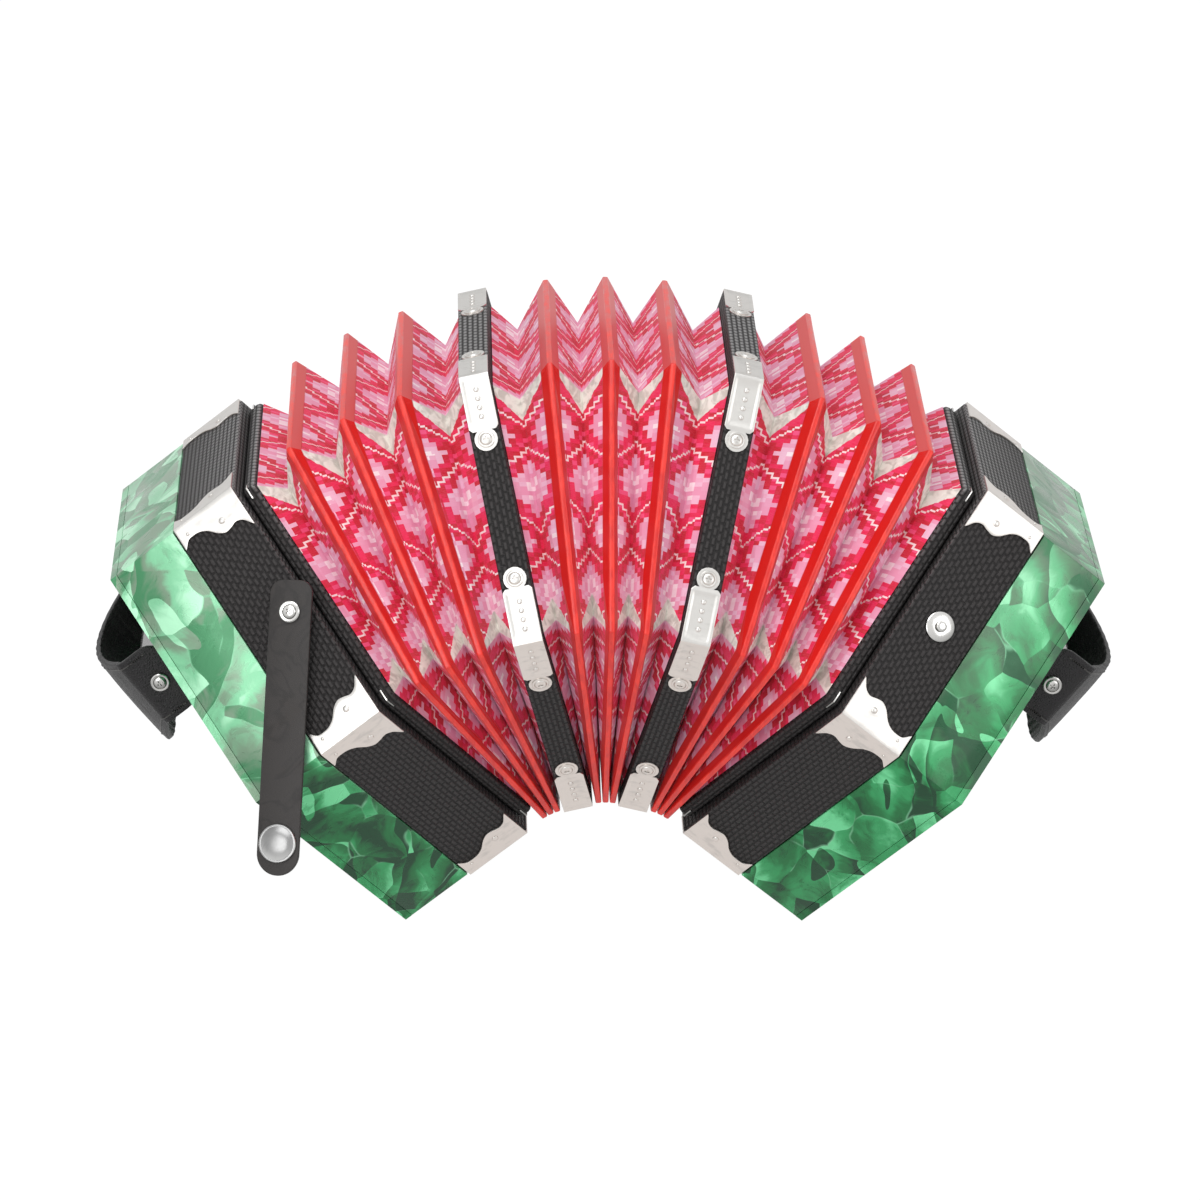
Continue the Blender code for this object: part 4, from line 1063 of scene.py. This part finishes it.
class Plane:
    """A plane of the right-hand half of the fan, by its tilt and the foot of its middle line."""

    def __init__(self, tilt, foot_x, foot_z):
        self.tilt, self.foot_x, self.foot_z = tilt, foot_x, foot_z

    def matrix(self):
        return moved(self.foot_x, 0, self.foot_z) @ Matrix.Rotation(self.tilt, 4, "Y")

    def shifted(self, distance):
        run, drop_by = distance * math.cos(self.tilt), distance * math.sin(self.tilt)
        return Plane(self.tilt, self.foot_x + run, self.foot_z - drop_by)

    def toward(self, other, share):
        return Plane(
            self.tilt + (other.tilt - self.tilt) * share,
            self.foot_x + (other.foot_x - self.foot_x) * share,
            self.foot_z + (other.foot_z - self.foot_z) * share,
        )


def right_half_of_fan():
    """Middle, inner, frame, second, third, fourth, end: each turned about the hinge before it."""
    half_crest = CREST_PITCH / 2
    face = FRAME_PITCH / 2
    past = face + FRAME_DEPTH / 2
    planes = [Plane(0.0, 0.0, 0.0)]
    for turn, before, after in (
        (FOLD_TURN, half_crest, half_crest),
        (FRAME_TURN, face, past),
        (FRAME_TURN, past, face),
        (FOLD_TURN, half_crest, half_crest),
        (FOLD_TURN, half_crest, half_crest),
        (END_TURN, face, face),
    ):
        hinge = planes[-1].shifted(before)
        planes.append(Plane(hinge.tilt + turn, hinge.foot_x, hinge.foot_z).shifted(after))
    return planes


def fan_place(side, plane):
    """A plane's place in the instrument; the left half is the right one turned round."""
    return (ORIGIN @ HALF_TURN if side == LEFT else ORIGIN) @ plane.matrix()


def hexagon_corners(inset):
    radius = (APOTHEM - inset) / math.cos(SLOPE)
    return [Vector((0, y, APOTHEM + z)) for y, z in arc(0, 0, radius, 0, 5 * SIXTH, 5)]


def cloth_card(name, rings, side):
    """A band of cloth through a loop of rings (plane, inset, distance from the valley).

    Its first UV map holds the distance from the valley and the place along the side. Its second
    holds the distance from the crest, and the depth of the gusset that every second side has.
    """
    shape = bmesh.new()
    cloth = shape.loops.layers.uv.new("cloth")
    edge = shape.loops.layers.uv.new("edge")
    loops = [
        [shape.verts.new(fan_place(side, plane) @ corner) for corner in hexagon_corners(inset)]
        for plane, inset, _ in rings
    ]
    for index, ring in enumerate(loops):
        following = (index + 1) % len(loops)
        rows = (index, index, following, following)
        for k in range(6):
            after = (k + 1) % 6
            corners = (k, after, after, k)
            face = shape.faces.new([loops[row][corner] for row, corner in zip(rows, corners)])
            rising = ring[after].co.z > ring[k].co.z + MM
            for loop, row, corner in zip(face.loops, rows, corners):
                _, inset, from_valley = rings[row]
                half_side = CORNER / 2 - inset * math.tan(SLOPE)
                along = half_side if (corner == after) == rising else -half_side
                loop[cloth].uv = (from_valley, along)
                loop[edge].uv = (inset, inset if k % 2 == 0 else -1.0)
    bmesh.ops.recalc_face_normals(shape, faces=shape.faces)
    mesh = bpy.data.meshes.new(name)
    shape.to_mesh(mesh)
    shape.free()
    card = bpy.data.objects.new(name, mesh)
    bpy.context.scene.collection.objects.link(card)
    paint(card, "bellows_cloth")
    return card


def valley(name, side, near, far):
    """The cloth between two neighbours (plane, body) of the fan.

    It runs from a fold's crest to the valley and out again, with a short leg on a rigid body.
    """
    near_rigid, far_rigid = ("fold" not in body for _, body in (near, far))
    base, other = (near[0], far[0]) if near_rigid else (far[0], near[0])
    middle = base.toward(other, SHORT_LEG_SHARE if near_rigid or far_rigid else 0.5)
    run = math.hypot(FOLD_DEPTH, CARD_HALF_PITCH)
    short = FOLD_DEPTH - SHORT_LEG_INSET
    skin = CLOTH_THICKNESS
    legs = []
    for way, (plane, _), rigid in ((1, near, near_rigid), (-1, far, far_rigid)):
        if rigid:
            leg = ((SEAT, SHORT_LEG_INSET), (GLUE_GAP, SHORT_LEG_INSET + skin))
        else:
            leg = ((CREST_HALF_WIDTH, CARD_INSET), (CREST_HALF_WIDTH - skin / 2, 2 * skin))
        reach = -way * (short if rigid else run)
        legs.append([(plane.shifted(way * aside), inset, reach) for aside, inset in leg])
    (first, last), (second, third) = legs
    outside, inside = (middle, FOLD_DEPTH, 0.0), (middle, FOLD_DEPTH + skin, 0.0)
    card = cloth_card(name, [first, outside, second, third, inside, last], side)
    band = (-VALLEY_HALF_WIDTH, VALLEY_HALF_WIDTH)
    across = (Vector((reach, 0, APOTHEM)) for reach in band)
    start, end = (tuple(fan_place(side, middle) @ point) for point in across)
    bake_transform(card)


# The casings and their metalwork


def cap_arm(share):
    """How far the pressed corner cap reaches over a flat, smoothly through its stations."""
    last = len(CAP_ARMS) - 1
    index = min(int(share * last), last - 1)
    stations = (min(max(index + step, 0), last) for step in (-1, 0, 1, 2))
    before, first, second, after = (CAP_ARMS[station] for station in stations)
    t = share * last - index
    bend = 3 * (first - second) + after - before
    sway = 2 * before - 5 * first + 4 * second - after
    return first + 0.5 * t * (second - before + t * (sway + t * bend))


def corner_cap():
    """A reed box's pressed corner cap at +Y: two ogee flanges, each with a rivet and a pin."""
    length = REED_BOX_DEPTH - 2 * CAP_MARGIN
    start = REED_BOX_START + CAP_MARGIN

    def shape(u, v):
        share = (v + 1) / 2
        return u * cap_arm(share), start + length * share, PLATE_LIFT

    pieces = [bent_plate("corner_cap", 16, 48, shape, APOTHEM, CAP_THICKNESS - 0.05 * MM)]
    studs = domed_rivet("cap_rivet", *CAP_RIVET), domed_rivet("cap_pin", *CAP_PIN)
    for way in (-1, 1):
        for model, (arm, share) in zip(studs, CAP_STUDS):
            spot = over_flat(way * arm, start + length * share, CAP_THICKNESS - 0.03 * MM)
            pieces.append(copied(model, "cap_stud", spot))
    drop(*studs)
    return joined("corner_cap", pieces)


def frame_clip():
    """A middle frame's corner clip at +Y: rimmed arms with bosses, and round lobes with screws."""
    half = FRAME_DEPTH / 2 - CLIP_SIDE_MARGIN
    stations = [(reach * MM, half) for reach in CLIP_STATIONS]
    stations += [(CLIP_ARM, half - CLIP_SHOULDER), (CLIP_ARM + 0.05 * MM, CLIP_NECK)]
    for degrees in CLIP_LOBE_DEGREES:
        angle = math.radians(degrees)
        reach = CLIP_LOBE_CENTRE - CLIP_LOBE_RADIUS * math.cos(angle)
        stations.append((reach, CLIP_LOBE_RADIUS * math.sin(angle)))
    last = len(stations) - 1

    def shape(u, v):
        reach, half_width = stations[round(abs(u) * last)]
        beside = abs(v) > 0.82 or reach < 1.2 * MM or reach > 19.0 * MM
        rim = CLIP_RIM if beside and reach < CLIP_ARM else 0
        return math.copysign(reach, u), v * half_width, PLATE_LIFT + rim

    thickness = CAP_THICKNESS - 0.3 * MM
    pieces = [bent_plate("frame_clip", 2 * last, 24, shape, APOTHEM, thickness)]
    boss = domed_rivet("clip_boss", *CLIP_BOSS)
    screw = cross_head_screw("clip_screw", *CLIP_SCREW)
    for way in (-1, 1):
        for reach in CLIP_BOSSES:
            pieces.append(copied(boss, "clip_stud", over_flat(way * reach * MM, 0, thickness)))
        pieces.append(copied(screw, "clip_head", over_flat(way * CLIP_LOBE_CENTRE, 0, thickness)))
    drop(boss, screw)
    return joined("frame_clip", pieces)


def lip_staple():
    """The pale wire staple over a corner of the bellows end."""

    def shape(u, v):
        return u * STAPLE_ARM, STAPLE_PLACE + v * STAPLE_HALF_WIDTH, 0.05 * MM

    return bent_plate("lip_staple", 4, 2, shape, APOTHEM - BELLOWS_END_STEP, STAPLE_THICKNESS)


def casings(label, place, cap, staple):
    """The bellows end, reed box and action box of one end, with its corner caps and staples."""
    for name, node, finish, size in CASINGS:
        piece = hexagon_casing(f"{label}_{name}", *size)
        settle(piece, place, f"{label}_end", finish, f"{label}_{node}")
    for index in range(6):
        piece = copied(cap, f"{label}_corner_cap_{index + 1}", round_corner(index))
        settle(piece, place, f"{label}_end", "nickel", f"{label}_reed_box")
        piece = copied(staple, f"{label}_lip_staple_{index + 1}", round_corner(index))
        settle(piece, place, f"{label}_end", "polished_steel")


def middle_frame(label, place, clip):
    """One of the two leatherette frames in the bellows, with a clip over each corner."""
    half = FRAME_DEPTH / 2
    node = f"{label}_frame"
    casing = hexagon_casing(f"{label}_middle_frame", APOTHEM, FRAME_RIM, -half, half, BOX_ROUNDING)
    settle(casing, place, node, "leatherette_black", node)
    for index in range(6):
        piece = copied(clip, f"{label}_frame_clip_{index + 1}", round_corner(index))
        settle(piece, place, node, "nickel", node)


# The ends


def button_places():
    """Centres (y, z) of an end's two rows of buttons; each row is a shallow arc."""
    places = {}
    middle = (BUTTONS_PER_ROW - 1) / 2
    for row, row_z in enumerate(BUTTON_ROW_Z):
        for column in range(BUTTONS_PER_ROW):
            steps = column - middle
            shift = BUTTON_ROW_SHIFT * (0.5 - row)
            drop_by = BUTTON_ROW_ARC * (steps / middle) ** 2
            places[row + 1, column + 1] = (steps * BUTTON_PITCH + shift, row_z - drop_by)
    return places


def key_button():
    """A turned button on the end face: guide pin, flange under the plate, stem and domed top."""
    flange_top = -(END_PLATE_THICKNESS + SEAT)
    flange_foot = flange_top - BUTTON_FLANGE_THICKNESS
    pin_tip = ACTION_BOX_START + ACTION_BOARD_THICKNESS - GUIDE_PIN_ENTRY - END_FACE
    rim = BUTTON_RADIUS + BUTTON_FLANGE
    profile = [(GUIDE_PIN_RADIUS * 0.7, pin_tip), (GUIDE_PIN_RADIUS, pin_tip + 0.4 * MM)]
    profile += [(GUIDE_PIN_RADIUS, flange_foot), (rim, flange_foot), (rim, flange_top)]
    profile += [(BUTTON_RADIUS, flange_top)]
    profile += scaled(BUTTON_TOP, BUTTON_RADIUS, -MM, BUTTON_HEIGHT)
    return turned("key_button", profile)


def buttons(label, place, model):
    places = button_places().items()
    spots = {f"{label}_button_{row}_{column}": spot for (row, column), spot in places}
    if label == "right":
        spots["air_button"] = (-AIR_BUTTON_ASIDE, AIR_BUTTON_Z)
    for name, (y, z) in spots.items():
        piece = copied(model, f"{name}_top", moved(END_FACE, y, z) @ ALONG_X)
        settle(piece, place, name, "button_white", name)


def strap_line():
    """The hand strap's middle line (y, height over the plate, width, sag), end to end."""
    side_y = RAIL_HALF_LENGTH + SEAT + STRAP_LEATHER / 2
    arc_half = side_y - STRAP_BEND
    arc_foot = RAIL_HEIGHT + STRAP_BEND
    radius = (arc_half**2 + STRAP_RISE**2) / (2 * STRAP_RISE)
    reach = math.asin(arc_half / radius)
    half = []
    for step in range(9):
        height = STRAP_FOOT + (RAIL_HEIGHT - STRAP_FOOT) * step / 8
        tip = min(1.0, (height - STRAP_FOOT) / STRAP_FOOT_ROUNDING)
        width = STRAP_END_WIDTH * (0.55 + 0.45 * math.sqrt(1 - (1 - tip) ** 2))
        half.append((side_y, height, width, 0.0))
    for step in range(1, 4):
        angle = math.pi / 2 * step / 4
        y = side_y - STRAP_BEND * (1 - math.cos(angle))
        half.append((y, RAIL_HEIGHT + STRAP_BEND * math.sin(angle), STRAP_END_WIDTH, 0.0))
    for step in range(20):
        share = step / 19
        angle = reach * (1 - share)
        ease = math.sin(share * math.pi / 2)
        height = arc_foot + STRAP_RISE - radius * (1 - math.cos(angle))
        width = STRAP_END_WIDTH + (STRAP_MID_WIDTH - STRAP_END_WIDTH) * ease
        half.append((radius * math.sin(angle), height, width, STRAP_MID_SAG * ease))
    return half + [(-y, height, width, sag) for y, height, width, sag in half[-2::-1]]


def strap_point(line, along, across):
    """A point of the strap's middle surface: along its line by station, across from -1 to 1."""
    index = min(int(along), len(line) - 2)
    share = along - index
    y, height, width, sag = (a + (b - a) * share for a, b in zip(line[index], line[index + 1]))
    side = line[0][0]
    middle = (side**2 - y**2) / side**2
    crown = STRAP_CROWN * (1 - abs(across) ** 3)
    rumple = STRAP_RUMPLE * math.sin(along * 2.1 + 3 * across) * math.sin(1.7 * across + 0.8)
    out = END_FACE + height + (crown + rumple * middle) * middle
    return Vector((out, y, RAIL_Z - sag + width / 2 * across))


def stitch_place(line, along, across):
    """A stitch's place on the strap's outer face, Z along the seam."""
    here = strap_point(line, along - STITCH_REACH, across)
    ahead = strap_point(line, along + STITCH_REACH, across)
    beside = strap_point(line, along, across - math.copysign(STITCH_REACH, across))
    run = (ahead - here).normalized()
    up = run.cross(beside - here).normalized()
    if up.x + up.y * here.y / 0.05 < 0:
        up.negate()
    middle = (here + ahead) / 2 + up * (STRAP_LEATHER / 2 + 0.05 * MM)
    return Matrix.Translation(middle) @ run.to_track_quat("Z", "Y").to_matrix().to_4x4()


def hand_strap(label, place):
    """The leather hand strap: a crowned band with rounded feet, stitched along both edges."""
    body = f"{label}_end"
    line = strap_line()
    stations = len(line) - 1
    strap = grid(f"{label}_hand_strap_leather", 2 * stations, 14)
    for vertex in strap.data.vertices:
        vertex.co = strap_point(line, (vertex.co.x + 1) / 2 * stations, vertex.co.y)
    modify(strap, "SOLIDIFY", thickness=STRAP_LEATHER, offset=0.0, use_even_offset=True)
    recalculate_normals()
    soften(strap, STRAP_ROUNDING, 3, 50.0)
    settle(strap, place, body, "leather_padded", f"{label}_hand_strap")
    stitch = turned("stitch", scaled(STITCH, MM), 6)
    seam = [
        copied(stitch, "stitch_copy", stitch_place(line, index / 2, across))
        for across in (-STITCH_ACROSS, STITCH_ACROSS)
        for index in range(8, 2 * stations - 7)
    ]
    drop(stitch)
    stitching = joined(f"{label}_hand_strap_stitching", seam)
    settle(stitching, place, body, "thread")


def strap_screws(label, place):
    """A cross-head screw in a raised washer through each foot of the hand strap."""
    model = cross_head_screw("rail_screw", *RAIL_SCREW)
    for end in (-1, 1):
        depth = "front" if (end == 1) == (label == "left") else "back"
        spot = moved(END_FACE + STRAP_SCREW_HEIGHT, end * RAIL_HALF_LENGTH, RAIL_Z)
        spot = spot @ Matrix.Rotation(-end * math.pi / 2, 4, "X")
        spot = spot @ moved(0, 0, STRAP_LEATHER + 2 * SEAT)
        piece = copied(model, f"{label}_rail_screw_{depth}", spot)
        node = f"{label}_strap_screw_{depth}"
        settle(piece, place, f"{label}_end", "polished_steel", node)
    drop(model)


def end_screws(label, place):
    """A screw inside each corner of the end plate, and gauze behind its fretted corners."""
    body = f"{label}_end"
    model = cross_head_screw("end_screw", *END_SCREW)
    for index in range(6):
        spot = moved(END_FACE, CORNER - END_SCREW_INSET, APOTHEM) @ ALONG_X
        piece = copied(model, f"{label}_end_screw_{index + 1}", round_corner(index) @ spot)
        settle(piece, place, body, "polished_steel")
    drop(model)
    behind = END_PLATE_START - GAUZE_DEPTH
    flat = Matrix(((0, 0, 1, behind), (1, 0, 0, 0), (0, 1, 0, APOTHEM), (0, 0, 0, 1)))
    for index in FRET_CORNERS:
        outline = arc(FRET_RING_RADIUS, 0.0, GAUZE_RADIUS, 0, 2 * math.pi * 23 / 24, 23)
        patch = outline_plate(f"{label}_fret_gauze_{index + 1}", outline, GAUZE_THICKNESS)
        patch.data.transform(flat)
        wrap_uv(patch)
        settle(patch, place @ round_corner(index), body, "gauze")


def upper_front_face(side, out):
    """The closing strap's place on an end's upper front flat: X outwards, Z off it."""
    front = -side
    down = Vector((0, front * 0.5, -math.cos(SLOPE)))
    top_corner = Vector((out, front * CORNER / 2, ACROSS_FLATS))
    off = Vector((0, front * math.cos(SLOPE), math.sin(SLOPE)))
    return on_flat(off, top_corner + down * DOWN_THE_FACE)


def closing_strap(place):
    """The strap that holds the bellows shut, with its screw and ferrule, and its domed snap."""
    pivot = place @ upper_front_face(LEFT, STRAP_SCREW_OUT)
    swing = pivot @ Matrix.Rotation(CLOSING_ANGLE, 4, "Z")
    half = CLOSING_WIDTH / 2
    corner = CLOSING_CORNER
    quarter = math.pi / 2
    screwed_end = corner - CLOSING_END
    outline = arc(CLOSING_REACH + CLOSING_END - half, 0, half, -quarter, quarter, 24)
    outline += arc(screwed_end, half - corner, corner, quarter, 2 * quarter, 8)
    outline += arc(screwed_end, corner - half, corner, 2 * quarter, 3 * quarter, 8)
    strap = outline_plate("closing_strap_leather", outline, CLOSING_THICKNESS)
    soften(strap, CLOSING_ROUNDING, 3, 50.0)
    lifted = swing @ moved(0, 0, CLOSING_LIFT)
    settle(strap, lifted, "closing_strap", "leather_black", "closing_strap")

    under, over = CLOSING_LIFT - SEAT, CLOSING_LIFT + CLOSING_THICKNESS + SEAT
    head = cross_head_screw("strap_screw_head", *CLOSING_SCREW)
    head.data.transform(moved(0, 0, over))
    step = SEAT + 1.0 * MM
    neck = [(3.6 * MM, SEAT), (3.6 * MM, step), (2.8 * MM, step), (2.8 * MM, under)]
    screw = joined("closing_strap_screw_head", [head, turned("strap_ferrule", neck)])
    settle(screw, pivot, "left_end", "polished_steel", "closing_strap_screw")

    cap = turned("snap_dome", scaled(SNAP_DOME, SNAP_RADIUS, SNAP_HEIGHT, over), 48)
    foot = CAP_THICKNESS + 2 * SEAT
    ring = [(3.0 * MM, foot + 1.7 * MM), (3.0 * MM, foot), (4.7 * MM, foot)]
    ring += [(5.0 * MM, foot + 0.3 * MM), (5.0 * MM, under)]
    snap = joined("closing_strap_snap", [cap, turned("snap_socket", ring)])
    reach = swing @ moved(CLOSING_REACH, 0, 0)
    settle(snap, reach, "closing_strap", "chrome", "snap_cap")


def snap_stud(place):
    """The stud on the right end that the snap closes over."""
    post = turned("snap_stud_post", scaled(STUD, MM, start=SEAT))
    spot = place @ upper_front_face(RIGHT, STUD_OUT)
    settle(post, spot, "right_end", "polished_steel", "snap_stud")


# The whole instrument, the camera and the studio


def bellows():
    """A taped crest for each fold, and a cloth card for each valley."""
    middle, inner, frame_plane, second, third, fourth, end = PLANES
    reach = CREST_HALF_WIDTH + CREST_SKIN
    crest_size = (APOTHEM + CREST_SKIN, CREST_WALL, -reach, reach, CREST_ROUNDING)
    binding = hexagon_casing("crest_model", *crest_size)
    spots = {"fold_middle": ORIGIN}
    for side in (RIGHT, LEFT):
        fold = f"{SIDE_NAMES[side]}_fold_"
        for kind, plane in zip(FOLDS, (inner, second, third, fourth)):
            spots[fold + kind] = fan_place(side, plane)
    for node, place in spots.items():
        piece = copied(binding, f"{node}_crest", Matrix.Identity(4))
        settle(piece, place, node, "crest_tape", node)
    drop(binding)
    inner_face, outer_face = (frame_plane.shifted(way * FRAME_DEPTH / 2) for way in (-1, 1))
    for side in (RIGHT, LEFT):
        label = SIDE_NAMES[side]
        folds = [f"{label}_fold_{kind}" for kind in FOLDS]
        first, *others = zip((inner, second, third, fourth), folds)
        inward = [(middle, "fold_middle"), first, (inner_face, f"{label}_frame")]
        outward = [(outer_face, f"{label}_frame"), *others, (end, f"{label}_end")]
        pairs = [*zip(inward, inward[1:]), *zip(outward, outward[1:])]
        for number, (near, far) in enumerate(pairs, 1):
            valley(f"{label}_cloth_{number}", side, near, far)


def retouch_nodes():
    """The CAD nodes that stay: fretted end plates, rails, boards and pans, in their finishes."""
    for label in SIDE_NAMES.values():
        for kind, finish in KEPT_NODES.items():
            paint(frame["nodes"][f"{label}_{kind}"], finish)


def place_on_set(name, data, matrix):
    """A new camera or lamp in the scene."""
    made = bpy.data.objects.new(name, data)
    made.matrix_world = matrix
    bpy.context.scene.collection.objects.link(made)
    return made


def studio_camera():
    """The photograph's camera: a long lens a little above the instrument."""
    level, dip = math.cos(CAMERA_ELEVATION), math.sin(CAMERA_ELEVATION)
    yaw = Vector((math.sin(CAMERA_YAW), math.cos(CAMERA_YAW), 0))
    forward = yaw * level - Vector((0, 0, dip))
    right = Vector((yaw.y, -yaw.x, 0))
    up = right.cross(forward)
    roll, tip = math.cos(CAMERA_ROLL), math.sin(CAMERA_ROLL)
    turn = Matrix((right * roll - up * tip, right * tip + up * roll, -forward))
    where = ORIGIN @ Vector(CAMERA_AIM) - forward * CAMERA_DISTANCE
    data = bpy.data.cameras.new("studio_camera")
    data.sensor_width = SENSOR_WIDTH
    data.lens = CAMERA_LENS
    data.clip_end = 50.0
    matrix = Matrix.Translation(where) @ turn.transposed().to_4x4()
    bpy.context.scene.camera = place_on_set("studio_camera", data, matrix)


def soft_lights():
    """Square lamps, each turned to the instrument."""
    for name, (where, size, power) in LAMPS.items():
        data = bpy.data.lights.new(name, "AREA")
        data.size = size
        data.energy = power
        turn = (Vector(where) - Vector(LAMP_AIM)).to_track_quat("Z", "Y").to_matrix().to_4x4()
        place_on_set(name, data, Matrix.Translation(where) @ turn)


def seen_directly(tree):
    """One for rays from the camera or a mirror, and the light path's other outputs."""
    path = values(tree.nodes.new("ShaderNodeLightPath"))
    return combine("MAXIMUM", path["Is Camera Ray"], path["Is Glossy Ray"]), path


def studio():
    """A white floor that keeps a faint shadow, a white surround, and three soft lamps."""
    world = bpy.data.worlds.new("studio_white")
    world.use_nodes = True
    seen, path = seen_directly(world.node_tree)
    seen = combine("MAXIMUM", seen, path["Is Transmission Ray"])
    strength = seen * (1 - WORLD_FILL) + WORLD_FILL
    give(world.node_tree.nodes["Background"], Color=WHITE, Strength=strength)
    bpy.context.scene.world = world

    floor = added("studio_floor", bpy.ops.mesh.primitive_plane_add, size=FLOOR_SIZE)
    made, tree = material("floor_white", Roughness=0.9, Base_Color=FLOOR_WHITE)
    glow = tree.nodes.new("ShaderNodeEmission")
    give(glow, Color=WHITE, Strength=GLOW_STRENGTH)
    mix = tree.nodes.new("ShaderNodeMixShader")
    feed(mix.inputs[0], seen_directly(tree)[0] * FLOOR_GLOW)
    for socket, shader in zip(mix.inputs[1:], (tree.nodes["Principled BSDF"], glow)):
        feed(socket, Value(shader.outputs[0]))
    give(tree.nodes["Material Output"], Surface=Value(mix.outputs[0]))
    floor.data.materials.append(made)
    soft_lights()
    bpy.context.scene.view_settings.view_transform = "Standard"


def build():
    studio_camera()
    bellows()
    cap, clip, staple, button = corner_cap(), frame_clip(), lip_staple(), key_button()
    for side, label in SIDE_NAMES.items():
        end = fan_place(side, PLANES[-1])
        casings(label, end, cap, staple)
        middle_frame(label, fan_place(side, PLANES[2]), clip)
        buttons(label, end, button)
        hand_strap(label, end)
        strap_screws(label, end)
        end_screws(label, end)
    drop(cap, clip, staple, button)
    closing_strap(fan_place(LEFT, PLANES[-1]))
    snap_stud(fan_place(RIGHT, PLANES[-1]))
    retouch_nodes()
    studio()


PLANES = right_half_of_fan()
finishes = make_materials()
build()
